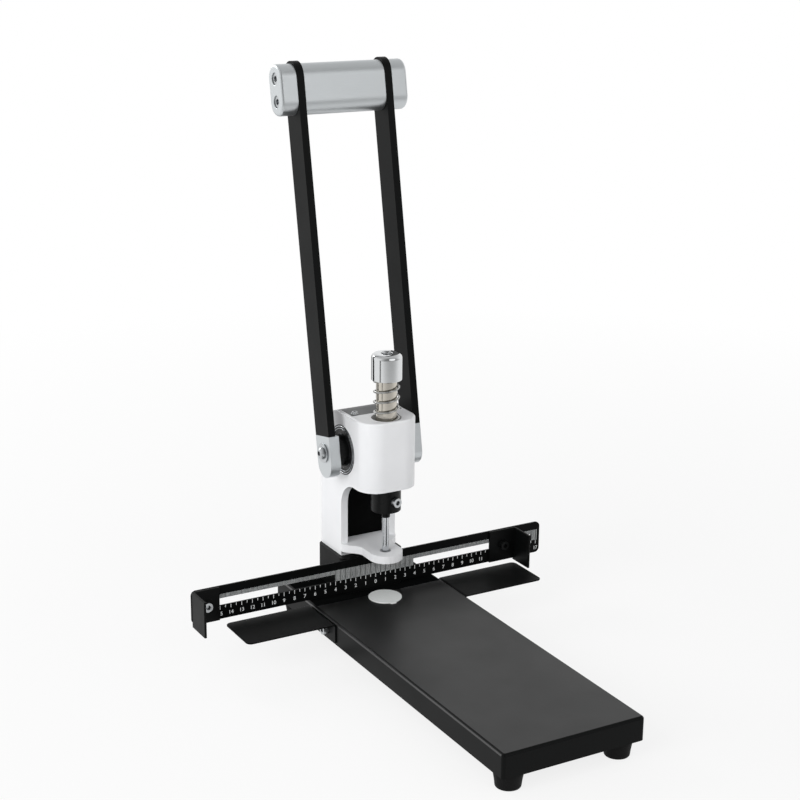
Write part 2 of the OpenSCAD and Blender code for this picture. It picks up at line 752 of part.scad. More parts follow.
module left_wing() color("#1c1d1e") wing(-1);
module right_wing() color("#1c1d1e") wing(1);

module wing_screws() color("#b9bcbe") for (side = [-1, 1])
    at_wing_screws(side) socket_screw(m5_d, wing_t + sheet_t + nut_t(m5_d) + 2);

module wing_nuts() color("#9a9da0") for (side = [-1, 1]) at_wing_screws(side)
    translate([0, 0, -wing_t - sheet_t]) mirror([0, 0, 1]) hex_nut(m5_d);

// Pinion with involute teeth; one tooth points at the rack
pressure = 20;
base_r = pitch_r * cos(pressure);
flank_steps = 5;
function inv(a) = tan(a) * 180 / PI - a;
function roll(r) = acos(min(1, base_r / r));
half_tooth = 90 / gear_teeth - backlash / 2 / pitch_r * 180 / PI;
function flank_angle(r) = half_tooth + inv(pressure) - inv(roll(max(r, base_r)));
function flank_radius(i) = let (r0 = max(gear_root, base_r)) r0 + (gear_r - r0) * i / flank_steps;
function on_circle(r, a) = [r * cos(a), r * sin(a)];
function tooth(a) = concat(
    [on_circle(gear_root, a - flank_angle(base_r) - 0.6)],
    [for (i = [0:flank_steps]) on_circle(flank_radius(i), a - flank_angle(flank_radius(i)))],
    [for (i = [flank_steps:-1:0]) on_circle(flank_radius(i), a + flank_angle(flank_radius(i)))],
    [on_circle(gear_root, a + flank_angle(base_r) + 0.6)]);

module shaft_key(play) translate([0, 0, shaft_d / 2])
    cube([pinion_w - 4 + play, key_w + play, key_w + play], center = true);

module pinion() color("#777b7e") at_shaft() difference() {
    union() {
        x_prism(-pinion_w / 2, pinion_w / 2)
            polygon([for (i = [0:gear_teeth - 1]) each tooth(180 + 360 * i / gear_teeth)]);
        x_rod(-bearing_seat, bearing_seat, 2 * ring_in);
    }
    x_rod(-pinion_w, pinion_w, shaft_d + 2 * run);
    shaft_key(2 * run);
}

module pinion_key() color("#9a9da0") at_shaft() shaft_key(0);

// Shaft with flats on its ends for the hubs
module hub_spigot(x0, x1, play) intersection() {
    x_rod(x0, x1, hub_spigot_d + 2 * play);
    translate([(x0 + x1) / 2, 0, 0])
        cube([abs(x1 - x0), hub_spigot_flat + 2 * play, hub_spigot_d + 2 * over], center = true);
}

hub_bolt_l = 16;

module shaft() color("#a9adb0") at_lever() difference() {
    union() {
        x_rod(-hub_in, hub_in, shaft_d);
        for (sx = [-1, 1]) hub_spigot(sx * (hub_in - over), sx * (lever_w / 2 - 0.5), 0);
    }
    for (sx = [-1, 1]) x_rod(sx * (lever_w / 2 - hub_bolt_l - 1), sx * lever_w / 2, m6_d + 2 * slip);
    rotate([lean, 0, 0]) shaft_key(2 * run);
}

module spacers() color("#151515") at_shaft() for (sx = [-1, 1]) difference() {
    x_rod(sx * frame_w / 2, sx * hub_in, 2 * spacer_r);
    x_rod(sx * (frame_w / 2 - over), sx * (hub_in + over), shaft_d + 2 * run);
}

// Hubs, arms and the pins that join them
module arm_tang(side, play) translate([side * (lever_w / 2 - arm_t / 2), 0, hub_up - arm_tang_l / 2])
    cube([arm_tang_t + 2 * play, arm_tang_w + 2 * play, arm_tang_l + 2 * play], center = true);

module at_arm_pins(side) {
    for (sy = [-1, 1]) translate([side * hub_in, sy * arm_tang_w / 3, hub_up - arm_tang_l / 2])
        rotate([0, side * 90, 0]) children();
}

arm_pin_l = hub_t - (arm_t - arm_tang_t) / 2;

module hub(side) at_lever() difference() {
    x_prism(side * hub_in, side * lever_w / 2) {
        translate([-hub_w / 2, -hub_arc]) square([hub_w, hub_arc + hub_up]);
        translate([0, -hub_arc]) circle(d = hub_w);
    }
    hub_spigot(side * (hub_in - over), side * (lever_w / 2 + over), run);
    arm_tang(side, run);
    translate([side * (lever_w / 2 - arm_t / 2), 0, hub_up])
        cube([arm_tang_t + 2 * run, arm_tang_w + 2 * run, 2 * run], center = true);
    at_arm_pins(side) translate([0, 0, -over]) cylinder(d = arm_pin_d + 2 * run, h = arm_pin_l + over);
}

module left_hub() color("#b9bec0") hub(-1);
module right_hub() color("#b9bec0") hub(1);

module arm(side) at_lever() difference() {
    union() {
        x_prism(side * arm_in, side * lever_w / 2) {
            translate([-arm_w / 2, hub_up]) square([arm_w, arm_end - hub_up]);
            translate([0, arm_end]) circle(d = arm_w);
        }
        arm_tang(side, 0);
    }
    at_grip_screws() x_rod(side * (arm_in - over), side * (lever_w / 2 + over), m6_d + 2 * slip);
    at_arm_pins(side) translate([0, 0, -over]) cylinder(d = arm_pin_d + 2 * run, h = arm_pin_l + over);
}

module left_arm() color("#1a1b1b") arm(-1);
module right_arm() color("#1a1b1b") arm(1);

module arm_pins() color("#9a9da0") at_lever() for (side = [-1, 1]) at_arm_pins(side)
    cylinder(d = arm_pin_d, h = arm_pin_l);

module hub_washers() color("#c9cccd") at_lever() for (side = [-1, 1]) difference() {
    x_rod(side * lever_w / 2, side * (lever_w / 2 + washer_t), washer_d);
    x_rod(side * (lever_w / 2 - over), side * (lever_w / 2 + 2 * washer_t), m6_d + 2 * slip);
}

module hub_bolts() color("#8e9294") at_lever() for (side = [-1, 1])
    translate([side * (lever_w / 2 + washer_t), 0, 0]) rotate([0, side * 90, 0]) button_screw(m6_d, hub_bolt_l);

// Grip and its end caps, an oval section carried along X
grip_thread = 14;
grip_head_depth = head_t(m6_d) + 1;

module grip_oval(inset) {
    translate([inset - grip_d / 2, lever_len - grip_s]) square([grip_d - 2 * inset, 2 * grip_s]);
    for (sz = [-1, 1]) translate([0, lever_len + sz * grip_s]) circle(d = grip_d - 2 * inset);
}

module grip() color("#b9bec0") at_lever() difference() {
    x_prism(-arm_in, arm_in) grip_oval(0);
    at_grip_screws() for (sx = [-1, 1])
        x_rod(sx * (arm_in - grip_thread), sx * (arm_in + over), m6_d + 2 * slip);
}

// Half section of a cap with a rounded outer edge: radius along x, length along y
module cap_section() {
    square([grip_d / 2, grip_cap_l - grip_cap_r]);
    square([grip_d / 2 - grip_cap_r, grip_cap_l]);
    intersection() {
        translate([grip_d / 2 - grip_cap_r, grip_cap_l - grip_cap_r]) circle(grip_cap_r);
        square([grip_d / 2, grip_cap_l]);
    }
}

// The cap's body, growing along +X: two half-round ends and a straight middle
module soft_cap() {
    for (sz = [-1, 1]) translate([0, 0, lever_len + sz * grip_s]) rotate([0, 90, 0]) rotate(sz * 90)
        rotate_extrude(angle = 180) cap_section();
    translate([0, 0, lever_len - grip_s]) linear_extrude(2 * grip_s) rotate(-90)
        for (m = [0, 1]) mirror([m, 0, 0]) cap_section();
}

module grip_cap(side) at_lever() difference() {
    translate([side * lever_w / 2, 0, 0]) mirror([side < 0 ? 1 : 0, 0, 0]) soft_cap();
    at_grip_screws() {
        x_rod(side * (lever_w / 2 - over), side * (lever_w / 2 + grip_cap_l), m6_d + 2 * slip);
        x_rod(side * (lever_w / 2 + grip_cap_l - grip_head_depth), side * (lever_w / 2 + grip_cap_l + over),
              head_w(m6_d) + 4 * slip);
    }
}

module left_cap() color("#b9bec0") grip_cap(-1);
module right_cap() color("#b9bec0") grip_cap(1);

module grip_screws() color("#7d8183") at_lever() at_grip_screws() for (side = [-1, 1])
    translate([side * (lever_w / 2 + grip_cap_l - grip_head_depth), 0, 0]) rotate([0, side * 90, 0])
        socket_screw(m6_d, grip_cap_l - grip_head_depth + arm_t + grip_thread - 1);

// Rack plunger: a round rod with teeth cut into its back
rack_tip = rack_offset + gear_m;
rack_root = rack_offset - 1.25 * gear_m;
rack_pitch = PI * gear_m;
rack_below = 2;
rack_above = ceil(stroke / rack_pitch) + 2;
space_half = rack_pitch / 4 + backlash / 2;

module rack_space() polygon([
    [rack_root, -space_half + (rack_offset - rack_root) * tan(pressure)],
    [rack_tip + over, -space_half - (gear_m + over) * tan(pressure)],
    [rack_tip + over, space_half + (gear_m + over) * tan(pressure)],
    [rack_root, space_half - (rack_offset - rack_root) * tan(pressure)]]);

module plunger() color("#b7b2a8") difference() {
    translate([0, punch_y, 0]) {
        translate([0, 0, chuck_top]) cylinder(d = plunger_d, h = plunger_top - chuck_top);
        translate([0, 0, chuck_top - spigot_l]) cylinder(d = spigot_d, h = spigot_l + over);
    }
    translate([-plunger_d, punch_y + rack_tip, shaft_z - (rack_below + 0.5) * rack_pitch])
        cube([2 * plunger_d, plunger_d, (rack_below + rack_above + 1) * rack_pitch]);
    for (k = [-rack_below:rack_above]) translate([0, punch_y, shaft_z + k * rack_pitch])
        x_prism(-plunger_d, plunger_d) rack_space();
    translate([0, punch_y, plunger_top - 11]) cylinder(d = m5_d + 2 * slip, h = 11 + over);
}

module plunger_cap() color("#d8dbdd") translate([0, punch_y, cap_bottom]) {
    round_r = 4;
    difference() {
        rotate_extrude() {
            square([cap_d / 2, cap_h - round_r]);
            square([cap_d / 2 - round_r, cap_h]);
            intersection() {
                translate([cap_d / 2 - round_r, cap_h - round_r]) circle(round_r);
                square([cap_d, cap_h]);
            }
        }
        translate([0, 0, -over]) cylinder(d = plunger_d + 2 * slip, h = cap_bore + over);
        cylinder(d = m5_d + 2 * slip, h = cap_h + over);
        translate([0, 0, cap_h - cap_sink]) cylinder(d = head_w(m5_d) + 1, h = cap_sink + over);
    }
}

module plunger_cap_screw() color("#c9cccd") translate([0, punch_y, cap_bottom + cap_h - cap_sink])
    socket_screw(m5_d, cap_h - cap_sink - cap_bore + 9);

// Chuck, its clamp screw and the hollow punch bit
spot_depth = 0.8;
spot_r = chuck_d / 2 - spot_depth;

module at_chuck_screw() translate([0, punch_y, chuck_mid]) rotate([0, 0, chuck_turn])
    translate([0, -spot_r, 0]) rotate([90, 0, 0]) children();

module chuck() color("#161617") difference() {
    translate([0, punch_y, 0]) {
        translate([0, 0, chuck_bottom]) cylinder(d = chuck_d, h = chuck_h);
        translate([0, 0, chuck_bottom - neck_l]) cylinder(d1 = neck_d, d2 = neck_d + neck_l / 6, h = neck_l);
    }
    translate([0, punch_y, chuck_bottom - neck_l - over]) cylinder(d = bit_d + 2 * slip, h = chuck_h + neck_l);
    translate([0, punch_y, chuck_top - spigot_l - 0.3]) cylinder(d = spigot_d + 2 * slip, h = spigot_l + over);
    at_chuck_screw() {
        translate([0, 0, -spot_r]) cylinder(d = m5_d + 2 * slip, h = spot_r + over);
        cylinder(d = head_w(m5_d) + 1, h = chuck_d);
    }
}

module chuck_screw() color("#c4c7c9") at_chuck_screw() socket_screw(m5_d, spot_r - bit_d / 2 - slip);

module punch_bit() color("#c4c8ca") translate([0, punch_y, tip_z]) difference() {
    cylinder(d = bit_d, h = bit_top - tip_z);
    translate([0, 0, -over]) cylinder(d = bit_bore, h = bit_top - tip_z + 2 * over);
    cylinder(d1 = bit_d - 0.3, d2 = bit_bore, h = 1.5);
}

// Return spring: one unbroken wire of six sides, eight rings to a turn
rings_per_turn = 8;
wire_sides = 6;
spring_mean = (spring_d - spring_wire) / 2;
spring_low = spring_seat + spring_wire / 2 + slide_gap;
spring_high = cap_bottom - spring_wire / 2 - slide_gap;
ring_count = round(spring_turns * rings_per_turn);
spring_rise = (spring_high - spring_low) / ring_count;
function coil(i) = [spring_mean * cos(360 * i / rings_per_turn), spring_mean * sin(360 * i / rings_per_turn),
                    spring_low + spring_rise * i];
function wire_point(i, s) = let (a = 360 * i / rings_per_turn, b = 360 * s / wire_sides)
    [(spring_mean + spring_wire / 2 * cos(b)) * cos(a), (spring_mean + spring_wire / 2 * cos(b)) * sin(a),
     coil(i)[2] + spring_wire / 2 * sin(b)];
spring_gap = min([for (i = [0:ring_count], j = [0:ring_count]) if (j - i >= rings_per_turn / 2)
    norm(coil(i) - coil(j))]) - spring_wire;
echo(least_gap_of_spring_wire_to_itself = spring_gap);

module return_spring() color("#b5b8ba") translate([0, punch_y, 0]) polyhedron(
    points = concat([for (i = [0:ring_count], s = [0:wire_sides - 1]) wire_point(i, s)],
                    [coil(0), coil(ring_count)]),
    faces = concat(
        [for (i = [0:ring_count - 1], s = [0:wire_sides - 1])
            let (t = (s + 1) % wire_sides, p = i * wire_sides, q = p + wire_sides) [p + s, q + s, p + t]],
        [for (i = [0:ring_count - 1], s = [0:wire_sides - 1])
            let (t = (s + 1) % wire_sides, p = i * wire_sides, q = p + wire_sides) [p + t, q + s, q + t]],
        [for (s = [0:wire_sides - 1]) [(ring_count + 1) * wire_sides, s, (s + 1) % wire_sides]],
        [for (s = [0:wire_sides - 1]) let (q = ring_count * wire_sides)
            [(ring_count + 1) * wire_sides + 1, q + (s + 1) % wire_sides, q + s]]));

// Sliding stops: plate in front of the ruler, flange to the front, clamp screw and nut behind.
// side is where the flange stands: -1 left end of the plate, 1 right end.
stop_front = ruler_y - slide_gap - sheet_t;

module at_stop_screw(x, side, l) translate([x - side * l / 2, stop_front, slot_z]) rotate([90, 0, 0]) children();

module stop_plate(x, side, l) difference() {
    union() {
        translate([x - side * l / 2, stop_front + sheet_t / 2, ruler_z + stop_h / 2])
            cube([l, sheet_t, stop_h], center = true);
        translate([x - side * sheet_t / 2, stop_front + sheet_t - stop_reach / 2,
                   ruler_z + (stop_h - stop_drop) / 2])
            cube([sheet_t, stop_reach, stop_h + stop_drop], center = true);
    }
    at_stop_screw(x, side, l) translate([0, 0, -sheet_t - over])
        cylinder(d = m5_d + 2 * slip, h = sheet_t + 2 * over);
}

module stop_screw(x, side, l) at_stop_screw(x, side, l)
    socket_screw(m5_d, sheet_t + ruler_t + 2 * slide_gap + stop_nut_t);

module stop_nut(x, side, l) translate([x - side * l / 2, ruler_y + ruler_t + slide_gap + stop_nut_t / 2, slot_z])
    difference() {
        cube([stop_nut_l, stop_nut_t, stop_nut_h], center = true);
        rotate([90, 0, 0]) cylinder(d = m5_d + 2 * slip, h = 2 * stop_nut_t, center = true);
    }

module left_stop() color("#1c1d1e") stop_plate(-left_stop_x, -1, left_stop_l);
module right_stop() color("#1c1d1e") stop_plate(right_stop_x, 1, right_stop_l);
module left_stop_screw() color("#c4c7c9") stop_screw(-left_stop_x, -1, left_stop_l);
module right_stop_screw() color("#2b2c2d") stop_screw(right_stop_x, 1, right_stop_l);
module left_stop_nut() color("#9a9da0") stop_nut(-left_stop_x, -1, left_stop_l);
module right_stop_nut() color("#9a9da0") stop_nut(right_stop_x, 1, right_stop_l);

base_tray();
anvil_plate();
cutting_pad();
rubber_feet();
foot_screws();
foot_nuts();
pedestal();
pedestal_bolts();
column_bolts();
head_frame();
throat_panel();
rear_cover();
cover_screws();
left_bearing_outer();
right_bearing_outer();
left_bearing_balls();
right_bearing_balls();
bearing_seals();
lower_bush();
upper_bush();
ruler();
ruler_studs();
ruler_nuts();
left_wing();
right_wing();
wing_screws();
wing_nuts();
return_spring();
shaft();
pinion();
pinion_key();
left_bearing_inner();
right_bearing_inner();
spacers();
left_hub();
right_hub();
hub_washers();
hub_bolts();
left_arm();
right_arm();
arm_pins();
grip();
left_cap();
right_cap();
grip_screws();
plunger();
plunger_cap();
plunger_cap_screw();
chuck();
chuck_screw();
punch_bit();
left_stop();
left_stop_screw();
left_stop_nut();
right_stop();
right_stop_screw();
right_stop_nut();
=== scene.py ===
"""Looks of a bench hole punch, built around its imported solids. Metres, +Z up, +Y to the back."""

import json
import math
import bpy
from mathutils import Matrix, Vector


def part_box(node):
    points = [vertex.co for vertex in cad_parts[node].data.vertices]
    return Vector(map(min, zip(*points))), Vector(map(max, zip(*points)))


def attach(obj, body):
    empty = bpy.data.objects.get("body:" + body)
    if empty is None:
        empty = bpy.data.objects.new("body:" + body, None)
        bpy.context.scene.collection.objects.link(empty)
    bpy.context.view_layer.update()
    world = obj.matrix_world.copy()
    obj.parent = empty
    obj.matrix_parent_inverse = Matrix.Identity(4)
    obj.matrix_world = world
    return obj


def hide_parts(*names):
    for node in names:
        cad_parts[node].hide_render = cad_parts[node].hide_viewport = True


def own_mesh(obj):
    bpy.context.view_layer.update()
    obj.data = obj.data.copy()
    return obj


bl_info = {
    "name": "Bench hole punch",
    "version": (1, 0, 0),
    "blender": (4, 5, 0),
    "location": "View3D > Sidebar > Hole punch",
    "description": "Dresses the solids of a lever hole punch with soft edges, finishes and a studio",
    "category": "Object",
}

import bmesh
import bpy
import numpy as np
from bpy.props import FloatProperty, FloatVectorProperty, IntProperty, PointerProperty
from mathutils import Matrix

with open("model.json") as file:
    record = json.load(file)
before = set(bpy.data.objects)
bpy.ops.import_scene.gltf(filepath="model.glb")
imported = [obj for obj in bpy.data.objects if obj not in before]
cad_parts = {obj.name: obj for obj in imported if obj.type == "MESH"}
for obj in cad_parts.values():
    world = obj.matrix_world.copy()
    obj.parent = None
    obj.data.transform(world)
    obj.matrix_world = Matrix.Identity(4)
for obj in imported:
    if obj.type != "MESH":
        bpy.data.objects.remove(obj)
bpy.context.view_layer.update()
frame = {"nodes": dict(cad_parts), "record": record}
NODES = frame["nodes"]
BODY_OF = {node: body for body, nodes in frame["record"]["behaviour"]["bodies"].items() for node in nodes}
SLOT_OF = {part["node"]: part["material_slot"] for part in frame["record"]["subparts"]}
MM = 0.001

# Points closer than this are merged
MERGE = 1e-6

# The tray's upright corners, and the folds along its top
TRAY_CORNER_R = 3.0 * MM
TRAY_FOLD_R = 2.4 * MM

# Most of a noise texture's values lie between these
NOISE_LOW = 0.3
NOISE_HIGH = 0.7

# Sockets of a Mix node that mixes colours, which shares their names with its other kinds
MIX_SHARE = 0
MIX_FIRST = 6
MIX_SECOND = 7
MIX_RESULT = 2


def linear(code):
    """Linear red, green and blue of an sRGB hex colour."""
    channels = np.array([int(code[start : start + 2], 16) for start in (0, 2, 4)]) / 255.0
    dark = channels / 12.92
    light = ((channels + 0.055) / 1.055) ** 2.4
    return tuple(float(channel) for channel in np.where(channels <= 0.04045, dark, light))


def low(node):
    """Lowest corner of a node's box."""
    return np.array(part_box(node)[0])


def high(node):
    """Highest corner of a node's box."""
    return np.array(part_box(node)[1])


def middle(node):
    """Middle of a node's box."""
    return (low(node) + high(node)) / 2


class PunchSizes(bpy.types.PropertyGroup):
    """Sizes of the pieces that are made here."""

    edge: FloatProperty(
        name="Edge", description="Rounding of the edges of plates and bars",
        default=0.45 * MM, unit="LENGTH", subtype="DISTANCE")
    cast_edge: FloatProperty(
        name="Cast edge", description="Rounding of the edges of the white casting",
        default=0.7 * MM, unit="LENGTH", subtype="DISTANCE")
    wire: FloatProperty(
        name="Spring wire", description="Thickness of the return spring's wire",
        default=1.8 * MM, unit="LENGTH", subtype="DISTANCE")
    spring_turns: FloatProperty(
        name="Spring turns", description="Turns of the return spring, as in its solid", default=4.5)
    spring_keep: FloatProperty(
        name="Spring keep", description="Share of the spring's length that is left at full stroke",
        default=0.21, subtype="FACTOR")
    tick: FloatProperty(
        name="Tick", description="Width of a line of the ruler's scale",
        default=0.36 * MM, unit="LENGTH", subtype="DISTANCE")
    ink: FloatProperty(
        name="Ink", description="Thickness of the ruler's print",
        default=0.03 * MM, unit="LENGTH", subtype="DISTANCE")
    digit: FloatProperty(
        name="Digit", description="Height of a digit on the ruler",
        default=3.3 * MM, unit="LENGTH", subtype="DISTANCE")
    print_shift: FloatProperty(
        name="Print shift", description="How far right of the middle the scale's zero is printed",
        default=0.85 * MM, unit="LENGTH", subtype="DISTANCE")
    last_number: IntProperty(
        name="Last number", description="Largest centimetre number on each half of the ruler", default=17)


class PunchColours(bpy.types.PropertyGroup):
    """Colours of the finishes."""

    powder: FloatVectorProperty(
        name="Powder coat", description="Black coat of tray, wings, stops and arms",
        subtype="COLOR", size=3, default=linear("0d0e0e"))
    enamel: FloatVectorProperty(
        name="Enamel", description="White coat of the casting",
        subtype="COLOR", size=3, default=linear("e9eaec"))
    cover: FloatVectorProperty(
        name="Cover paint", description="Dark grey coat of the rear cover",
        subtype="COLOR", size=3, default=linear("2e3132"))
    anodised: FloatVectorProperty(
        name="Anodised grey", description="Grip, end caps and hubs",
        subtype="COLOR", size=3, default=linear("d2d6d8"))
    nylon: FloatVectorProperty(
        name="Nylon", description="Cutting pad", subtype="COLOR", size=3, default=linear("e8ebea"))
    ink: FloatVectorProperty(
        name="Ink", description="Print of the ruler", subtype="COLOR", size=3, default=linear("dfe2e2"))
    floor: FloatVectorProperty(
        name="Floor", description="Studio floor", subtype="COLOR", size=3, default=linear("f4f4f4"))


# Materials


def add(tree, kind, settings=None, sockets=None):
    """Adds a node. Settings are its own options; a socket takes a value, or a (node, output) pair to link."""
    made = tree.nodes.new(kind)
    for name, value in (settings or {}).items():
        setattr(made, name, value)
    for name, value in (sockets or {}).items():
        if isinstance(value, tuple) and isinstance(value[0], bpy.types.Node):
            tree.links.new(value[0].outputs[value[1]], made.inputs[name])
        else:
            made.inputs[name].default_value = value
    return made


def per_mm(size):
    """Texture scale whose features are this many millimetres wide."""
    return 1.0 / (size * MM)


def started(name):
    """An empty node material with its object coordinates."""
    made = bpy.data.materials.new(name)
    made.use_nodes = True
    tree = made.node_tree
    tree.nodes.clear()
    place = add(tree, "ShaderNodeTexCoord")
    return made, tree, (place, "Object")


def closed(tree, shader):
    """Links a shader to the material's output."""
    add(tree, "ShaderNodeOutputMaterial", sockets={"Surface": (shader, 0)})


def seen_rays(tree):
    """One for rays that see the background, straight on, in a mirror or through a clear piece, and nought for
    others."""
    rays = add(tree, "ShaderNodeLightPath")
    seen = add(tree, "ShaderNodeMath", {"operation": "MAXIMUM"}, {
        0: (rays, "Is Camera Ray"), 1: (rays, "Is Glossy Ray")})
    return add(tree, "ShaderNodeMath", {"operation": "MAXIMUM"}, {
        0: (seen, 0), 1: (rays, "Is Transmission Ray")}), 0


def shaded(colour, share):
    """The colour times a share, as a socket value."""
    return (colour[0] * share, colour[1] * share, colour[2] * share, 1.0)


def mottled(tree, noise, colour, dark, rough, spread):
    """Colour and roughness that follow a noise: from a dark share of the colour to a little over the full
    one, and by a spread to both sides of a middle roughness."""
    light = 1.05
    tone = add(tree, "ShaderNodeMix", {"data_type": "RGBA"}, {
        MIX_SHARE: (noise, "Fac"), MIX_FIRST: shaded(colour, dark), MIX_SECOND: shaded(colour, light)})
    gloss = add(tree, "ShaderNodeMapRange", sockets={
        "Value": (noise, "Fac"), "From Min": NOISE_LOW, "From Max": NOISE_HIGH,
        "To Min": rough - spread, "To Max": rough + spread})
    return (tone, MIX_RESULT), (gloss, 0)


def coat(name, colour, rough, peel_mm, peel_height_mm, specular, spread=0.06):
    """A sprayed and baked coat: orange peel of the given width and height, and cloudy gloss."""
    cloud_mm = 40
    made, tree, place = started(name)
    cloud = add(tree, "ShaderNodeTexNoise", sockets={
        "Vector": place, "Scale": per_mm(cloud_mm), "Detail": 3.0})
    tone, gloss = mottled(tree, cloud, colour, dark=0.92, rough=rough, spread=spread)
    peel = add(tree, "ShaderNodeTexNoise", sockets={
        "Vector": place, "Scale": per_mm(peel_mm), "Detail": 2.0})
    bump = add(tree, "ShaderNodeBump", sockets={
        "Height": (peel, "Fac"), "Distance": peel_height_mm * MM, "Strength": 0.5})
    closed(tree, add(tree, "ShaderNodeBsdfPrincipled", sockets={
        "Base Color": tone, "Roughness": gloss, "Normal": (bump, 0), "Specular IOR Level": specular}))
    return made


def metal(name, colour, rough, grain_mm, stretch, depth_mm, spread=0.05, pit_mm=None):
    """A bare metal whose grain is drawn out along the axes where stretch is below one.

    Where pit_mm is given, shade is painted into hollows about that wide, such as a screw's socket: the colour
    darkens where the surface is enclosed."""
    made, tree, place = started(name)
    drawn = add(tree, "ShaderNodeMapping", sockets={"Vector": place, "Scale": stretch})
    grain = add(tree, "ShaderNodeTexNoise", sockets={
        "Vector": (drawn, 0), "Scale": per_mm(grain_mm), "Detail": 4.0, "Roughness": 0.6})
    tone, gloss = mottled(tree, grain, colour, dark=0.93, rough=rough, spread=spread)
    # Painted shade: near black colour laid into enclosed hollows, such as sockets, where light does not reach
    if pit_mm is not None:
        open_share = add(tree, "ShaderNodeAmbientOcclusion", {"samples": 8}, {"Distance": pit_mm * MM})
        unshaded_share = add(tree, "ShaderNodeMapRange", sockets={
            "Value": (open_share, "AO"), "From Min": 0.35, "From Max": 0.8, "To Min": 0.0, "To Max": 1.0})
        painted_shade = add(tree, "ShaderNodeMix", {"data_type": "RGBA"}, {
            MIX_SHARE: (unshaded_share, 0), MIX_FIRST: shaded(colour, 0.06), MIX_SECOND: tone})
        tone = (painted_shade, MIX_RESULT)
    bump = add(tree, "ShaderNodeBump", sockets={
        "Height": (grain, "Fac"), "Distance": depth_mm * MM, "Strength": 0.4})
    closed(tree, add(tree, "ShaderNodeBsdfPrincipled", sockets={
        "Base Color": tone, "Roughness": gloss, "Normal": (bump, 0), "Metallic": 1.0}))
    return made


def powder_coat(colours):
    """Powder coat, baked black: satin, with a fine orange peel that spreads its reflections."""
    return coat(
        "powder_coat_black_satin", colours.powder,
        rough=0.38, peel_mm=1.2, peel_height_mm=0.006, specular=0.07, spread=0.04)


def rubbed_coat(colours):
    """The tray's top: sheets slide over the powder coat and have rubbed it to a soft shine.

    Its orange peel is drawn coarser than the real one, so that it shows."""
    return coat(
        "powder_coat_black_rubbed", colours.powder,
        rough=0.38, peel_mm=4.0, peel_height_mm=0.004, specular=0.4, spread=0.03)


def matt_coat(colours):
    """The tray's top by the ruler, where no sheet slides: the coat as it was baked, matt and dark."""
    return coat(
        "powder_coat_black_matt", colours.powder,
        rough=0.6, peel_mm=1.2, peel_height_mm=0.006, specular=0.0, spread=0.04)


def fold_coat(colours):
    """The outer half of the tray's long folds, which hands have rubbed smooth: a glossy line by the edge."""
    return coat(
        "powder_coat_black_folds", colours.powder,
        rough=0.3, peel_mm=1.2, peel_height_mm=0.003, specular=1.0, spread=0.02)


def white_enamel(colours):
    """Sprayed white enamel over a casting: smooth, with soft broad highlights."""
    return coat(
        "enamel_white_satin", colours.enamel, rough=0.34, peel_mm=2.5, peel_height_mm=0.01, specular=0.45)


def cover_paint(colours):
    """Sprayed dark grey paint on bent sheet: satin, a little rougher than the tray's coat."""
    return coat(
        "sheet_paint_dark_grey", colours.cover, rough=0.4, peel_mm=1.2, peel_height_mm=0.012, specular=0.5)


def panel_paint(colours):
    """Matt black paint deep in the throat: takes nearly all light."""
    return coat(
        "panel_paint_black_matt", shaded(colours.powder, 0.5),
        rough=0.7, peel_mm=1.5, peel_height_mm=0.01, specular=0.04)


def black_ruler(colours):
    """Black anodised aluminium under the print: flatter and darker than the coat."""
    return coat(
        "anodised_black_ruler", shaded(colours.powder, 0.75),
        rough=0.42, peel_mm=0.9, peel_height_mm=0.004, specular=0.05)


def moulded_rubber(_colours):
    """Moulded black rubber: dull, with a mould grain."""
    return coat(
        "rubber_moulded_black", linear("111111"), rough=0.62, peel_mm=1.0, peel_height_mm=0.03, specular=0.1)


def seal_rubber(_colours):
    """Nitrile rubber of the bearing seals: smooth black with a faint sheen."""
    return coat(
        "nitrile_seal_black", linear("111112"), rough=0.3, peel_mm=0.8, peel_height_mm=0.006, specular=0.2)


def screen_ink(colours):
    """Screen printed white ink: flat, with slightly uneven cover."""
    return coat("screen_ink_white", colours.ink, rough=0.55, peel_mm=0.6, peel_height_mm=0.002, specular=0.3)


def black_oxide(_colours):
    """Blackened steel: dark, with an oily sheen."""
    return coat(
        "black_oxide_steel", linear("0e0f0f"), rough=0.3, peel_mm=0.8, peel_height_mm=0.006, specular=0.14)


def satin_anodised(colours):
    """Blasted and anodised aluminium: an even pale grey that scatters what it mirrors."""
    return metal(
        "aluminium_anodised_satin", colours.anodised,
        rough=0.42, grain_mm=0.9, stretch=(0.12, 1.0, 1.0), depth_mm=0.006)


def bright_chrome(_colours):
    """Chrome plate on a turned cap: mirrors the studio with faint turning marks."""
    return metal(
        "chrome_plate_turned", linear("d9dbdc"),
        rough=0.09, grain_mm=0.8, stretch=(0.15, 0.15, 1.0), depth_mm=0.001, spread=0.03)


def turned_steel(_colours):
    """Turned and nickelled steel rod: warm grey, with turning marks round it that blur the reflection."""
    return metal(
        "steel_turned_nickel", linear("c9c4ba"),
        rough=0.16, grain_mm=0.5, stretch=(0.1, 0.1, 1.0), depth_mm=0.004)


def spring_wire(_colours):
    """Drawn spring steel: bright wire with fine drawing marks."""
    return metal(
        "spring_steel_drawn", linear("b4b4b2"),
        rough=0.12, grain_mm=0.6, stretch=(1.0, 1.0, 0.4), depth_mm=0.002, spread=0.03)


def zinc_plate(_colours):
    """Zinc plated steel of screws, nuts and washers: pale and slightly cloudy, with painted shade in the
    sockets.
    """
    return metal(
        "zinc_plate_clear", linear("c2c5c7"),
        rough=0.3, grain_mm=1.5, stretch=(1.0, 1.0, 1.0), depth_mm=0.004, pit_mm=2.2)


def bearing_steel(_colours):
    """Ground bearing steel: bright rings."""
    return metal(
        "bearing_steel_ground", linear("c9cccf"),
        rough=0.2, grain_mm=0.5, stretch=(0.2, 1.0, 1.0), depth_mm=0.002)


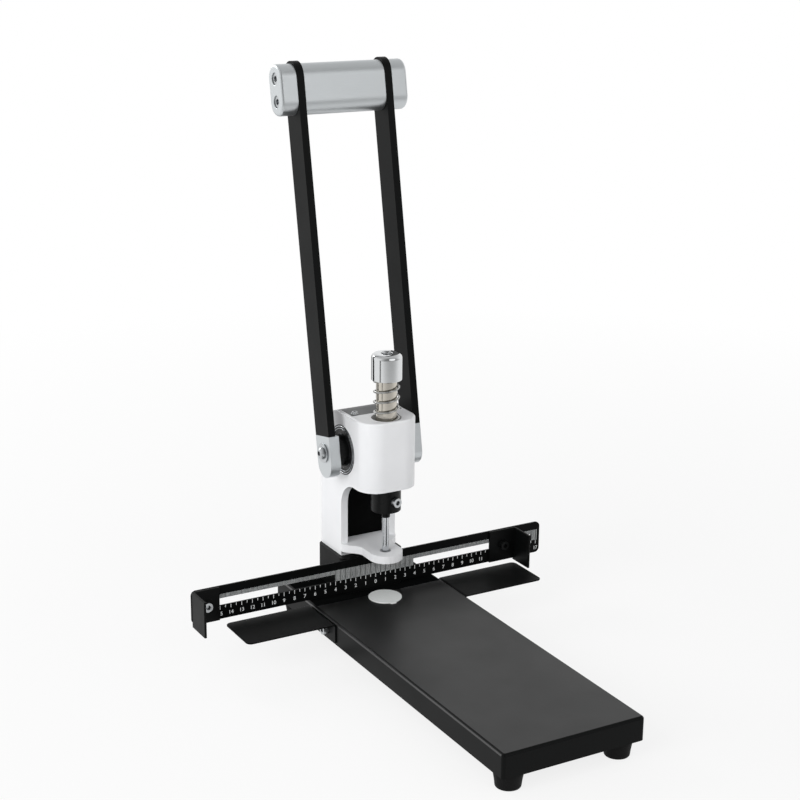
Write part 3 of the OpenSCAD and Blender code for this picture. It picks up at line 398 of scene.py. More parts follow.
def bush_bronze(_colours):
    """Sintered bronze of the guide bushes: a dull warm brown with an open grain."""
    return metal(
        "bronze_sintered", linear("b08d57"),
        rough=0.4, grain_mm=0.5, stretch=(1.0, 1.0, 1.0), depth_mm=0.01)


def pad_nylon(colours):
    """Cast nylon: light goes a little way in, the top is lightly scuffed by the bit."""
    scuff_mm = 3
    made, tree, place = started("nylon_cast_natural")
    scuff = add(tree, "ShaderNodeTexNoise", sockets={
        "Vector": place, "Scale": per_mm(scuff_mm), "Detail": 5.0})
    tone, gloss = mottled(tree, scuff, colours.nylon, dark=0.9, rough=0.51, spread=0.11)
    bump = add(tree, "ShaderNodeBump", sockets={
        "Height": (scuff, "Fac"), "Distance": 0.02 * MM, "Strength": 0.5})
    closed(tree, add(tree, "ShaderNodeBsdfPrincipled", sockets={
        "Base Color": tone, "Roughness": gloss, "Normal": (bump, 0), "IOR": 1.53,
        "Subsurface Weight": 0.25, "Subsurface Radius": (1.0, 1.0, 1.0), "Subsurface Scale": 1.5 * MM}))
    return made


FINISHES = {
    "black_paint": powder_coat,
    "white_paint": white_enamel,
    "cover_paint": cover_paint,
    "grey_aluminium": satin_anodised,
    "chrome": bright_chrome,
    "bright_steel": bearing_steel,
    "zinc_steel": zinc_plate,
    "black_steel": black_oxide,
    "spring_steel": spring_wire,
    "bronze": bush_bronze,
    "nylon": pad_nylon,
    "black_rubber": moulded_rubber,
    "black_anodised": black_ruler,
}
SPECIAL = {
    "tray_top": rubbed_coat,
    "tray_rear": matt_coat,
    "tray_folds": fold_coat,
    "throat_panel": panel_paint,
    "plunger": turned_steel,
    "bearing_seals": seal_rubber,
    "ruler_scale": screen_ink,
}
made_finishes = {}


def finish_for(node, slot):
    """The finish of a piece, made once and shared."""
    maker = SPECIAL.get(node, FINISHES[slot])
    if maker not in made_finishes:
        made_finishes[maker] = maker(bpy.context.scene.punch_colours)
    return made_finishes[maker]


def dress(obj, node, slot):
    """Gives an object one finish."""
    obj.data.materials.clear()
    obj.data.materials.append(finish_for(node, slot))


# Meshes


def grid_faces(rows, columns, wrap_rows, wrap_columns):
    """Quads between neighbours on a grid of points, as an array of index rows."""
    row = np.arange(rows if wrap_rows else rows - 1)[:, None]
    column = np.arange(columns if wrap_columns else columns - 1)[None, :]
    next_row = (row + 1) % rows
    next_column = (column + 1) % columns
    quads = np.stack([
        row * columns + column, next_row * columns + column,
        next_row * columns + next_column, row * columns + next_column], axis=-1)
    return quads.reshape(-1, 4)


def vectors(items, name):
    """A vector property of a mesh's points or faces, as an array with one row for each."""
    rows = np.zeros(len(items) * 3)
    items.foreach_get(name, rows)
    return rows.reshape(-1, 3)


def joined(parts):
    """Points and faces of several parts in one: a part's faces count on from the points before it."""
    points = [np.reshape(part, (-1, 3)) for part, _ in parts]
    firsts = np.cumsum([0] + [len(part) for part in points])
    faces = [np.add(face, first) for first, (_, polygons) in zip(firsts, parts) for face in polygons]
    return np.concatenate(points), faces


def shown(name, data, steep):
    """An object at the origin with smooth faces, its edges sharp where faces meet more steeply than this."""
    data.shade_smooth()
    data.set_sharp_from_angle(angle=steep)
    made = bpy.data.objects.new(name, data)
    bpy.context.scene.collection.objects.link(made)
    return made


def mesh_of(name, points, faces):
    """A smooth mesh object of these points and faces, its doubles merged and its faces turned outwards."""
    steep = math.radians(40)
    data = bpy.data.meshes.new(name)
    data.from_pydata(np.reshape(points, (-1, 3)).tolist(), [], [list(map(int, face)) for face in faces])
    work = bmesh.new()
    work.from_mesh(data)
    bmesh.ops.remove_doubles(work, verts=work.verts, dist=MERGE)
    bmesh.ops.recalc_face_normals(work, faces=work.faces)
    work.to_mesh(data)
    work.free()
    return shown(name, data, steep)


def settle(obj, like, body=None, slot=None, instead=()):
    """Dresses a new piece as the node it goes with, lets it ride and hides the nodes it stands for."""
    slot = slot or SLOT_OF[like]
    dress(obj, like, slot)
    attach(obj, body or BODY_OF[like])
    if instead:
        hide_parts(*instead)
    return obj


def turned(profile, centre, count=96, axis="z", nib=None):
    """Surface of revolution: each profile point (radius, height) goes once round the axis through centre.

    A nib, if given, is a function of angle and height that adds to the radius."""
    angle = np.linspace(0, 2 * np.pi, count, endpoint=False)[None, :]
    radius = np.asarray(profile)[:, :1] * np.ones_like(angle)
    height = np.asarray(profile)[:, 1:] * np.ones_like(angle)
    if nib is not None:
        radius = radius + nib(angle, height)
    across = radius * np.cos(angle)
    along = radius * np.sin(angle)
    places = {"z": (across, along, height), "x": (height, across, along)}[axis]
    return np.stack(places, axis=-1) + np.asarray(centre), grid_faces(len(profile), count, False, True)


def rounded(profile, radius, steps=4):
    """The profile with each inner corner replaced by an arc of about the given radius: a quadratic curve from
    one side's point to the other's, pulled towards the corner. It takes just under half of a short side."""
    most = 0.48
    points = np.asarray(profile, float)
    corner = points[1:-1]
    before = points[:-2] - corner
    after = points[2:] - corner
    before_length = np.linalg.norm(before, axis=1)[:, None]
    after_length = np.linalg.norm(after, axis=1)[:, None]
    start = corner + before / before_length * np.minimum(radius, before_length * most)
    end = corner + after / after_length * np.minimum(radius, after_length * most)
    share = np.linspace(0, 1, steps + 1)[None, :, None]
    rest = 1 - share
    arcs = rest**2 * start[:, None] + 2 * share * rest * corner[:, None] + share**2 * end[:, None]
    return np.concatenate([points[:1], arcs.reshape(-1, 2), points[-1:]])


def clean_edges(work, width, least):
    """Steep outer edges that can be rounded by this width: a chain is left out, edge by edge, where it runs
    into an edge too short to take the rounding."""
    shortest = 1.6 * width
    chosen = {
        edge for edge in work.edges
        if len(edge.link_faces) == 2 and edge.is_convex and edge.calc_face_angle() > least}
    while True:
        crowded = {
            point for edge in chosen for point in edge.verts
            if any(other not in chosen and other.calc_length() < shortest for other in point.link_edges)}
        kept = {edge for edge in chosen if not crowded.intersection(edge.verts)}
        if len(kept) == len(chosen):
            return kept
        chosen = kept


def soft_copy(node, width, segments=3):
    """A copy of a node with its triangles merged into faces and its steep outer edges rounded."""
    steep = math.radians(32)
    one_plane = math.radians(1.0)
    work = bmesh.new()
    work.from_mesh(NODES[node].data)
    bmesh.ops.remove_doubles(work, verts=work.verts, dist=2 * MERGE)
    bmesh.ops.dissolve_limit(
        work, angle_limit=one_plane, verts=work.verts, edges=work.edges, delimit={"NORMAL"})
    weight = work.edges.layers.float.new("bevel_weight_edge")
    for edge in clean_edges(work, width, steep):
        edge[weight] = 1.0
    data = bpy.data.meshes.new(node + "_soft")
    work.to_mesh(data)
    work.free()
    made = shown(node + "_soft", data, steep)
    bevel = made.modifiers.new("edges", "BEVEL")
    bevel.limit_method = "WEIGHT"
    bevel.width = width
    bevel.segments = segments
    bevel.use_clamp_overlap = True
    bevel.miter_outer = "MITER_ARC"
    flat = made.modifiers.new("flat_faces", "WEIGHTED_NORMAL")
    flat.weight = 90
    flat.keep_sharp = True
    return settle(made, node, instead=[node])


def boxes(lows, highs):
    """Points and faces of many upright boxes, from arrays of their lowest and highest corners. Each of a
    box's eight corners takes the low or the high side on each axis."""
    pick = np.array([[(corner >> axis) & 1 for axis in range(3)] for corner in range(8)])
    points = np.where(pick[None], highs[:, None, :], lows[:, None, :])
    sides = np.array([[0, 2, 3, 1], [4, 5, 7, 6], [0, 1, 5, 4], [2, 6, 7, 3], [0, 4, 6, 2], [1, 3, 7, 5]])
    faces = sides[None] + 8 * np.arange(len(lows))[:, None, None]
    return points.reshape(-1, 3), faces.reshape(-1, 4)


# Pieces


class PUNCH_OT_hardware(bpy.types.Operator):
    """Finishes of the solids. Screws, nuts, bearings, shaft and gears are shown as they are"""

    bl_idname = "punch.hardware"
    bl_label = "Hardware"

    def execute(self, context):
        for node, obj in NODES.items():
            dress(obj, node, SLOT_OF[node])
        return {"FINISHED"}


class PUNCH_OT_base(bpy.types.Operator):
    """Tray, wings and pedestal with soft folded edges"""

    bl_idname = "punch.base"
    bl_label = "Base"

    def execute(self, context):
        edge = context.scene.punch_sizes.edge
        for node in ("left_wing", "right_wing", "pedestal"):
            soft_copy(node, edge)
        self.tray(edge)
        self.corners()
        return {"FINISHED"}

    def tray(self, edge):
        """The tray, cut a little in front of the ruler, because paper rubs its top as far as that and no
        further. The outer half of each long fold has a finish of its own."""
        data = soft_copy("base_tray", edge).data
        plain, top, rear, folds = range(4)
        for part in ("tray_top", "tray_rear", "tray_folds"):
            data.materials.append(finish_for(part, SLOT_OF["base_tray"]))
        ruler_gap = 9 * MM
        rubbed_to = low("ruler")[1] - ruler_gap
        fold_foot = high("base_tray")[2] - TRAY_FOLD_R
        work = bmesh.new()
        work.from_mesh(data)
        bmesh.ops.bisect_plane(
            work, geom=work.verts[:] + work.edges[:] + work.faces[:],
            plane_co=(0.0, rubbed_to, 0.0), plane_no=(0, 1, 0))
        work.to_mesh(data)
        work.free()
        centre = vectors(data.polygons, "center")
        normal = vectors(data.polygons, "normal")
        at_top = centre[:, 2] > fold_foot
        level = normal[:, 2] >= 0.99
        outer_half = (np.abs(normal[:, 0]) > 0.75) & (normal[:, 2] > 0.05)
        finish = np.where(centre[:, 1] < rubbed_to, top, rear)
        finish[~(level & at_top)] = plain
        finish[outer_half & at_top] = folds
        data.polygons.foreach_set("material_index", finish.astype(np.int32))

    def corners(self):
        """The tray's four upper corners: a quarter disc, the section of the folds, carried a quarter turn
        round each corner's upright axis."""
        steps = 13
        lowest, highest = low("base_tray"), high("base_tray")
        left, front = lowest[:2] + TRAY_CORNER_R
        right, rear = highest[:2] - TRAY_CORNER_R
        rise = np.linspace(0, np.pi / 2, steps)
        arc = np.stack([np.cos(rise), np.sin(rise)], axis=1) * TRAY_FOLD_R
        arc_centre = (TRAY_CORNER_R - TRAY_FOLD_R, highest[2] - TRAY_FOLD_R)
        section = np.concatenate([[(0.0, 0.0)], arc]) + arc_centre
        parts = []
        for x, y, first in ((right, rear, 0), (left, rear, 90), (left, front, 180), (right, front, 270)):
            angle = np.radians(np.linspace(first, first + 90, steps))[None, :]
            ring = np.stack([
                x + section[:, :1] * np.cos(angle), y + section[:, :1] * np.sin(angle),
                section[:, 1:] * np.ones_like(angle)], axis=-1)
            index = np.arange(len(section) * steps).reshape(-1, steps)
            ends = [index[:, 0], index[:, -1]]
            parts.append((ring, [*grid_faces(*index.shape, True, False), *ends]))
        settle(mesh_of("tray_corners", *joined(parts)), "base_tray")


class PUNCH_OT_feet(bpy.types.Operator):
    """Moulded rubber feet with a flared top, a rounded tip and a recess for the screw"""

    bl_idname = "punch.feet"
    bl_label = "Feet"

    def execute(self, context):
        # The section, straight stretches with rounded corners, goes once round each foot's axis
        lowest, highest = low("rubber_feet"), high("rubber_feet")
        screw_low = low("foot_screws")
        screw_head_r = 4.1 * MM
        foot_r = screw_low[0] + screw_head_r - lowest[0]
        tip_r = foot_r * 0.852
        waist_r = foot_r * 0.9
        top = highest[2]
        waist = top * 0.35
        flare = top * 0.8
        hole_r = 2.6 * MM
        recess_r = 5.125 * MM
        recess_top = screw_low[2] + 4.5 * MM
        moulded_r = 1.4 * MM
        section = [
            (hole_r, recess_top), (recess_r, recess_top), (recess_r, 0.0), (tip_r, 0.0),
            (waist_r, waist), (foot_r, flare), (foot_r, top), (hole_r, top)]
        section = rounded(section + section[:1], moulded_r)
        parts = [
            turned(section, (x, y, 0.0), count=64)
            for x in (lowest[0] + foot_r, highest[0] - foot_r)
            for y in (lowest[1] + foot_r, highest[1] - foot_r)]
        settle(mesh_of("feet_moulded", *joined(parts)), "rubber_feet", instead=["rubber_feet"])
        return {"FINISHED"}


class PUNCH_OT_pad(bpy.types.Operator):
    """Cast nylon pad with a rounded rim and the small nib left by its mould"""

    bl_idname = "punch.pad"
    bl_label = "Cutting pad"

    def execute(self, context):
        # The section goes once round the pad's axis, and the nib adds to its radius
        lowest, highest = low("cutting_pad"), high("cutting_pad")
        bottom, top = lowest[2], highest[2]
        radius = (highest[0] - lowest[0]) / 2
        rim_r = 0.4 * MM
        nib_out = 2.4 * MM
        nib_at = math.radians(268.5)
        nib_half = 0.19
        nib_steepness = 10
        deck = high("base_tray")[2]
        wall_foot, nib_foot, nib_top = deck + 0.1 * MM, deck + 0.15 * MM, top - 0.02 * MM
        section = rounded([(0.0, bottom), (radius, bottom), (radius, top), (0.0, top)], rim_r)
        wall = [(radius, wall_foot), (radius, nib_foot)]
        section = np.insert(section, np.argmax(section[:, 1] > deck), wall, axis=0)

        def nib(angle, height):
            """A flat tab between two steep flanks in angle, only where the pad stands clear of the tray."""
            tab = 1 / (1 + ((angle - nib_at) / nib_half) ** nib_steepness)
            on_wall = (height >= nib_foot) & (height < nib_top)
            return np.where(on_wall, nib_out * tab, 0.0)

        points, faces = turned(section, (*middle("cutting_pad")[:2], 0.0), count=192, nib=nib)
        settle(mesh_of("pad_cast", points, faces), "cutting_pad", instead=["cutting_pad"])
        return {"FINISHED"}


class PUNCH_OT_casting(bpy.types.Operator):
    """White casting of column, head and tongue, with soft edges"""

    bl_idname = "punch.casting"
    bl_label = "Casting"

    def execute(self, context):
        soft_copy("head_frame", context.scene.punch_sizes.cast_edge)
        return {"FINISHED"}


class PUNCH_OT_cover(bpy.types.Operator):
    """Bent sheet cover over the top and back of the head"""

    bl_idname = "punch.cover"
    bl_label = "Rear cover"

    def execute(self, context):
        sheet_edge = context.scene.punch_sizes.edge * 0.6
        soft_copy("rear_cover", sheet_edge)
        return {"FINISHED"}


class PUNCH_OT_seals(bpy.types.Operator):
    """Moulded bearing seals: a ring with a raised rim, a groove and a thin lip"""

    bl_idname = "punch.seals"
    bl_label = "Bearing seals"

    def execute(self, context):
        # The section goes once round the shaft, on both faces of both bearings
        shaft = middle("left_bearing_outer")
        outer = (high("bearing_seals")[1] - low("bearing_seals")[1]) / 2
        wide = 4.5 * MM
        inner = outer - wide
        lip_out = inner + wide * 0.18
        groove_in, groove_out = inner + wide * 0.3, inner + wide * 0.5
        rim_in = inner + wide * 0.58
        bearing_x = middle("right_bearing_outer")[0]
        half = high("bearing_seals")[0] - bearing_x
        back, groove, rim_edge = -1.0 * MM, -0.5 * MM, -0.3 * MM
        lip_edge, lip_top = -0.35 * MM, -0.2 * MM
        rim_round, moulded_r = 0.5 * MM, 0.25 * MM
        section = [
            (inner, back), (inner, lip_edge), (lip_out, lip_top), (groove_in, groove), (groove_out, groove),
            (rim_in, 0.0), (outer - rim_round, 0.0), (outer, rim_edge), (outer, back), (inner, back)]
        section = rounded(section, moulded_r, steps=3)
        parts = [
            turned(section * (1.0, way), (side * bearing_x + way * half, shaft[1], shaft[2]), axis="x")
            for side in (-1, 1) for way in (-1, 1)]
        settle(mesh_of("bearing_seal_rings", *joined(parts)), "bearing_seals", instead=["bearing_seals"])
        self.ring_edges(shaft, outer)
        return {"FINISHED"}

    def ring_edges(self, shaft, seal_r):
        """The ground edges of each outer ring, outside and inside: a small circle carried round the shaft."""
        face = high("right_bearing_outer")[0]
        ring_r = (high("left_bearing_outer")[1] - low("left_bearing_outer")[1]) / 2
        outside_r, outside_thick = ring_r - 1.3 * MM, 0.34 * MM
        inside_r, inside_thick = seal_r + 0.25 * MM, 0.24 * MM
        sides = 10
        around = np.linspace(0, 2 * np.pi, sides + 1)
        parts = []
        for side in (-1, 1):
            for radius, thick in ((outside_r, outside_thick), (inside_r, inside_thick)):
                section = np.stack([radius + thick * np.cos(around), thick * np.sin(around)], axis=1)
                parts.append(turned(section, (side * face, shaft[1], shaft[2]), axis="x"))
        settle(mesh_of("bearing_ring_edges", *joined(parts)), "left_bearing_balls")


class PUNCH_OT_ruler(bpy.types.Operator):
    """Black ruler with a printed centimetre scale that counts both ways from the middle"""

    bl_idname = "punch.ruler"
    bl_label = "Ruler"

    def execute(self, context):
        sizes = context.scene.punch_sizes
        sheet_edge = sizes.edge * 0.5
        soft_copy("ruler", sheet_edge, segments=2)
        number_up = 4.6 * MM
        face, bottom = low("ruler")[1:]
        for printed in (self.scale(sizes), self.numbers(context, face, bottom + number_up)):
            settle(printed, "ruler_scale", "base", "black_anodised")
        return {"FINISHED"}

    def scale(self, sizes):
        """The scale's lines, each an upright box as thick as the ink: a band of millimetres and half
        centimetres that stops short of the slots, and below the slots the half centimetres once more."""
        lowest, highest = low("ruler"), high("ruler")
        face = lowest[1]
        slot_in, slot_out = 39.5 * MM, highest[0] - 9 * MM
        slot_low = lowest[2] + 12.2 * MM
        slot_high = slot_low + 6.6 * MM
        band_top = slot_high + 3.9 * MM
        over_slot, over_plain = slot_high + 0.15 * MM, slot_low + 0.2 * MM
        whole_end, half_end = slot_low - 3.4 * MM, slot_low - 2.3 * MM
        end_gap = 3 * MM
        reach = round((highest[0] - end_gap) / MM)
        fine = np.arange(-reach, reach) * MM + sizes.print_shift
        count = np.arange(-2 * sizes.last_number, 2 * sizes.last_number + 1)
        half = count * 5 * MM + sizes.print_shift
        half_wide = 1.5 * sizes.tick
        lines = []
        for x, wide in ((fine, sizes.tick), (half, half_wide)):
            off_slot = (np.abs(x) + wide / 2 < slot_in) | (np.abs(x) - wide / 2 > slot_out)
            lines.append((x, wide, np.where(off_slot, over_plain, over_slot), band_top))
        lines.append((half, half_wide, np.where(count % 2 == 0, whole_end, half_end), slot_low))
        lows = [
            np.stack([x - wide / 2, np.full_like(x, face - sizes.ink), foot], axis=1)
            for x, wide, foot, _ in lines]
        highs = [
            np.stack([x + wide / 2, np.full_like(x, face), np.full_like(x, top)], axis=1)
            for x, wide, _, top in lines]
        return mesh_of("ruler_scale", *boxes(np.concatenate(lows), np.concatenate(highs)))

    def numbers(self, context, face, height):
        """The numbers as one flat mesh: each number's outline is filled, then stood up on the ruler's face.
        A digit's height is a share of the font's size."""
        sizes = context.scene.punch_sizes
        digit_share = 0.7
        bolder = 0.06 * MM
        parts = []
        for number in range(-sizes.last_number, sizes.last_number + 1):
            words = bpy.data.curves.new("number", "FONT")
            words.body = str(abs(number))
            words.align_x = "CENTER"
            words.align_y = "CENTER"
            words.size = sizes.digit / digit_share
            words.extrude = sizes.ink / 2
            words.offset = bolder
            holder = bpy.data.objects.new("number", words)
            context.scene.collection.objects.link(holder)
            context.view_layer.update()
            flat = bpy.data.meshes.new_from_object(holder.evaluated_get(context.evaluated_depsgraph_get()))
            across, up, out = vectors(flat.vertices, "co").T
            middle_x = number * 10 * MM + sizes.print_shift
            points = np.stack([across + middle_x, face - sizes.ink / 2 - out, up + height], axis=1)
            parts.append((points, [list(polygon.vertices) for polygon in flat.polygons]))
            bpy.data.objects.remove(holder)
            bpy.data.curves.remove(words)
            bpy.data.meshes.remove(flat)
        return mesh_of("ruler_numbers", *joined(parts))


class PUNCH_OT_stops(bpy.types.Operator):
    """Sliding stops with soft bent edges"""

    bl_idname = "punch.stops"
    bl_label = "Stops"

    def execute(self, context):
        for node in ("left_stop", "right_stop"):
            soft_copy(node, context.scene.punch_sizes.edge)
        return {"FINISHED"}


class PUNCH_OT_lever(bpy.types.Operator):
    """Arms, hubs, grip and end caps with soft edges"""

    bl_idname = "punch.lever"
    bl_label = "Lever"

    def execute(self, context):
        for node in ("left_arm", "right_arm", "left_hub", "right_hub", "grip", "left_cap", "right_cap"):
            soft_copy(node, context.scene.punch_sizes.edge)
        return {"FINISHED"}


class PUNCH_OT_spring(bpy.types.Operator):
    """Return spring: a round wire carried along a helix round the plunger"""

    bl_idname = "punch.spring"
    bl_label = "Return spring"

    def execute(self, context):
        # A circle goes round the plunger and climbs evenly from the seat to the cap
        sizes = context.scene.punch_sizes
        lowest, highest = low("return_spring"), high("return_spring")
        axis = middle("plunger_cap")
        wire_r = sizes.wire / 2
        radius = (highest[0] - lowest[0] - sizes.wire) / 2
        rings_per_turn = 40
        rings = int(sizes.spring_turns * rings_per_turn)
        sides = 14
        share = np.linspace(0, 1, rings + 1)[:, None]
        angle = 2 * np.pi * sizes.spring_turns * share
        first, last = lowest[2] + wire_r, highest[2] - wire_r
        around = np.linspace(0, 2 * np.pi, sides, endpoint=False)[None, :]
        out = radius + wire_r * np.cos(around)
        points = np.stack([
            axis[0] + out * np.cos(angle), axis[1] + out * np.sin(angle),
            first + (last - first) * share + wire_r * np.sin(around)], axis=-1)
        quads = grid_faces(rings + 1, sides, False, True).tolist()
        ends = [list(range(sides)), list(range(rings * sides, (rings + 1) * sides))]
        coil = mesh_of("spring_coil", points, quads + ends)
        settle(coil, "return_spring", instead=["return_spring"])
        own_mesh(coil)
        return {"FINISHED"}


class PUNCH_OT_plunger(bpy.types.Operator):
    """Chrome cap and black chuck of the plunger, with soft edges"""

    bl_idname = "punch.plunger"
    bl_label = "Plunger"

    def execute(self, context):
        for node in ("plunger_cap", "chuck"):
            soft_copy(node, context.scene.punch_sizes.edge)
        return {"FINISHED"}


# Stage


def facing(back, place):
    """A transform at a place whose -Z looks against the given direction."""
    right = np.cross((0.0, 0.0, 1.0), back)
    right = right / np.linalg.norm(right)
    up = np.cross(back, right)
    return Matrix.Translation(place) @ Matrix(np.stack([right, up, back], axis=1).tolist()).to_4x4()


class PUNCH_OT_stage(bpy.types.Operator):
    """Pale floor, soft studio light and the camera"""

    bl_idname = "punch.stage"
    bl_label = "Stage"

    def execute(self, context):
        self.floor(context)
        self.world(context)
        self.lamps(context)
        self.camera(context)
        context.scene.view_settings.view_transform = "Standard"
        return {"FINISHED"}

    def floor(self, context):
        """A wide flat floor that stays white in the picture and keeps the shadow."""
        half = 14.0
        fibre_mm = 90
        corners = [(-half, -half, 0), (half, -half, 0), (half, half, 0), (-half, half, 0)]
        floor = mesh_of("floor", corners, [(0, 1, 2, 3)])
        made, tree, place = started("studio_paper_white")
        fibre = add(tree, "ShaderNodeTexNoise", sockets={
            "Vector": place, "Scale": per_mm(fibre_mm), "Detail": 2.0})
        colour = context.scene.punch_colours.floor
        tone = add(tree, "ShaderNodeMix", {"data_type": "RGBA"}, {
            MIX_SHARE: (fibre, "Fac"), MIX_FIRST: shaded(colour, 0.99), MIX_SECOND: shaded(colour, 1.0)})
        paper = add(tree, "ShaderNodeBsdfDiffuse", sockets={"Color": (tone, MIX_RESULT)})
        glow = add(tree, "ShaderNodeEmission", sockets={"Strength": self.mirrored_floor(tree, place)})
        far = add(tree, "ShaderNodeVectorMath", {"operation": "LENGTH"}, {0: place})
        share = add(tree, "ShaderNodeMapRange", sockets={
            "Value": (far, "Value"), "From Min": 0.35, "From Max": 1.3, "To Min": 0.82, "To Max": 1.0})
        share = add(tree, "ShaderNodeMath", {"operation": "MULTIPLY"}, {0: (share, 0), 1: seen_rays(tree)})
        closed(tree, add(tree, "ShaderNodeMixShader", sockets={0: (share, 0), 1: (paper, 0), 2: (glow, 0)}))
        floor.data.materials.append(made)

    def mirrored_floor(self, tree, place):
        """One for rays that see the floor straight on. Metal sees it dimmer towards the front, with painted
        reflections of a dark card to the left and another behind, as seen from the plunger; no card stands
        there."""
        axis = middle("plunger_cap")
        around = add(tree, "ShaderNodeVectorMath", {"operation": "SUBTRACT"}, {
            0: place, 1: (float(axis[0]), float(axis[1]), 0.0)})
        way = add(tree, "ShaderNodeSeparateXYZ", sockets={0: (around, 0)})
        front = add(tree, "ShaderNodeMapRange", {"interpolation_type": "SMOOTHSTEP"}, {
            "Value": (way, "Y"), "From Min": -1.1, "From Max": -0.2, "To Min": 0.4, "To Max": 1.0})
        angle = add(tree, "ShaderNodeMath", {"operation": "ARCTAN2"}, {0: (way, "Y"), 1: (way, "X")})
        share = (front, 0)
        # Painted reflections: two dark cards laid into the floor's glow, seen only in mirrors
        for towards, inner, outer, dark in ((-167, 3, 7, 0.12), (80, 18, 28, 0.35)):
            apart = add(tree, "ShaderNodeMath", {"operation": "SUBTRACT"}, {
                0: (angle, 0), 1: math.radians(towards)})
            apart = add(tree, "ShaderNodeMath", {"operation": "ABSOLUTE"}, {0: (apart, 0)})
            painted_card = add(tree, "ShaderNodeMapRange", {"interpolation_type": "SMOOTHSTEP"}, {
                "Value": (apart, 0), "From Min": math.radians(inner), "From Max": math.radians(outer),
                "To Min": dark, "To Max": 1.0})
            share = add(tree, "ShaderNodeMath", {"operation": "MULTIPLY"}, {0: share, 1: (painted_card, 0)}), 0
        rays = add(tree, "ShaderNodeLightPath")
        return add(tree, "ShaderNodeMapRange", sockets={
            "Value": (rays, "Is Glossy Ray"), "To Min": 1.0, "To Max": share}), 0

    def world(self, context):
        """White where it is seen. A mirror shows it white behind and beside the object, and dimmer towards
        the ceiling and the dark front of the studio. It lights the object from its walls more than from its
        ceiling."""
        world = bpy.data.worlds.new("studio_white")
        context.scene.world = world
        world.use_nodes = True
        tree = world.node_tree
        tree.nodes.clear()
        place = add(tree, "ShaderNodeTexCoord")
        way = add(tree, "ShaderNodeSeparateXYZ", sockets={0: (place, "Generated")})
        front = add(tree, "ShaderNodeMapRange", {"interpolation_type": "SMOOTHSTEP"}, {
            "Value": (way, "Y"), "From Min": -0.85, "From Max": -0.1, "To Min": 0.25, "To Max": 1.0})
        ceiling = add(tree, "ShaderNodeMapRange", {"interpolation_type": "SMOOTHSTEP"}, {
            "Value": (way, "Z"), "From Min": 0.25, "From Max": 0.9, "To Min": 1.0, "To Max": 0.6})
        mirrored = add(tree, "ShaderNodeMath", {"operation": "MULTIPLY"}, {0: (front, 0), 1: (ceiling, 0)})
        rays = add(tree, "ShaderNodeLightPath")
        seen = add(tree, "ShaderNodeMapRange", sockets={
            "Value": (rays, "Is Glossy Ray"), "To Min": 1.0, "To Max": (mirrored, 0)})
        soft = add(tree, "ShaderNodeMapRange", {"interpolation_type": "SMOOTHSTEP"}, {
            "Value": (way, "Z"), "From Min": 0.1, "From Max": 0.95, "To Min": 0.9, "To Max": 0.28})
        strength = add(tree, "ShaderNodeMapRange", sockets={
            "Value": seen_rays(tree), "To Min": (soft, 0), "To Max": (seen, 0)})
        sky = add(tree, "ShaderNodeBackground", sockets={"Color": (1, 1, 1, 1), "Strength": (strength, 0)})
        add(tree, "ShaderNodeOutputWorld", sockets={"Surface": (sky, 0)})

    def lamps(self, context):
        """A large soft key from the left, a weak fill from the front and a small one behind, which shines on
        the bends. Metal mirrors the last two: it shows the plain studio in place of the key."""
        for name, place, aim, size, power in (
            ("key", (-1.9, -0.5, 1.1), (0.0, 0.05, 0.2), 1.5, 23.0),
            ("fill", (0.5, -1.9, 1.1), (0.0, 0.05, 0.2), 2.0, 9.5),
            ("rim", (-0.75, 1.7, 1.0), (0.0, 0.0, 0.1), 0.6, 8.0),
        ):
            data = bpy.data.lights.new(name, "AREA")
            data.shape = "DISK"
            data.size = size
            data.energy = power
            lamp = bpy.data.objects.new(name, data)
            lamp.visible_glossy = name != "key"
            lamp.visible_camera = False
            context.scene.collection.objects.link(lamp)
            back = np.array(place) - np.array(aim)
            lamp.matrix_world = facing(back / np.linalg.norm(back), place)

    def camera(self, context):
        """The photograph's view: place and turn found from the ruler's scale and the tray's corners."""
        data = bpy.data.cameras.new("camera")
        data.sensor_width = 36.0
        data.lens = 77.306
        data.clip_end = 100.0
        camera = bpy.data.objects.new("camera", data)
        context.scene.collection.objects.link(camera)
        turn, tilt, roll = math.radians(-29.671), math.radians(16.8906), math.radians(0.53732)
        right = np.array([math.cos(turn), math.sin(turn), 0.0])
        back = np.array([math.sin(turn) * math.cos(tilt), -math.cos(turn) * math.cos(tilt), math.sin(tilt)])
        up = np.cross(back, right)
        across = math.cos(roll) * right + math.sin(roll) * up
        upright = math.cos(roll) * up - math.sin(roll) * right
        face = low("ruler")[1]
        deck = high("base_tray")[2]
        place = np.array([-0.68118, -1.23784 + face, 0.60506 + deck])
        turned_to = np.stack([across, upright, back], axis=1)
        camera.matrix_world = Matrix.Translation(place) @ Matrix(turned_to.tolist()).to_4x4()
        context.scene.camera = camera


STEPS = (
    PUNCH_OT_hardware,
    PUNCH_OT_base,
    PUNCH_OT_feet,
    PUNCH_OT_pad,
    PUNCH_OT_casting,
    PUNCH_OT_cover,
    PUNCH_OT_seals,
    PUNCH_OT_ruler,
    PUNCH_OT_stops,
    PUNCH_OT_lever,
    PUNCH_OT_spring,
    PUNCH_OT_plunger,
    PUNCH_OT_stage,
)


class PUNCH_PT_panel(bpy.types.Panel):
    """The steps that dress the hole punch"""

    bl_idname = "PUNCH_PT_panel"
    bl_label = "Hole punch"
    bl_space_type = "VIEW_3D"
    bl_region_type = "UI"
    bl_category = "Hole punch"

    def draw(self, context):
        for group in (context.scene.punch_sizes, context.scene.punch_colours):
            for name in group.__annotations__:
                self.layout.prop(group, name)
        for step in STEPS:
            self.layout.operator(step.bl_idname)


CLASSES = (PunchSizes, PunchColours, *STEPS, PUNCH_PT_panel)


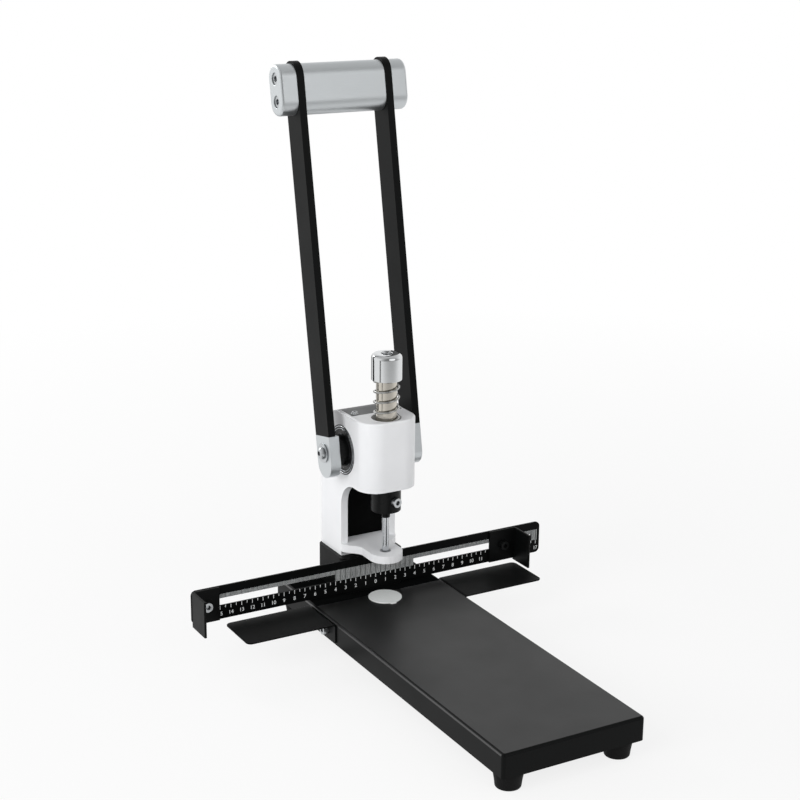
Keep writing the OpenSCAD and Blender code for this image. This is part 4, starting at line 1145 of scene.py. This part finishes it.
def register():
    """Registers the classes and gives the scene its sizes and colours."""
    for kind in CLASSES:
        bpy.utils.register_class(kind)
    bpy.types.Scene.punch_sizes = PointerProperty(type=PunchSizes)
    bpy.types.Scene.punch_colours = PointerProperty(type=PunchColours)


def unregister():
    """Takes back what register gave."""
    del bpy.types.Scene.punch_colours
    del bpy.types.Scene.punch_sizes
    for kind in reversed(CLASSES):
        bpy.utils.unregister_class(kind)


def main():
    """Calls every step in order."""
    register()
    for step in STEPS:
        family, name = step.bl_idname.split(".")
        getattr(getattr(bpy.ops, family), name)()


if __name__ == "__main__":
    main()
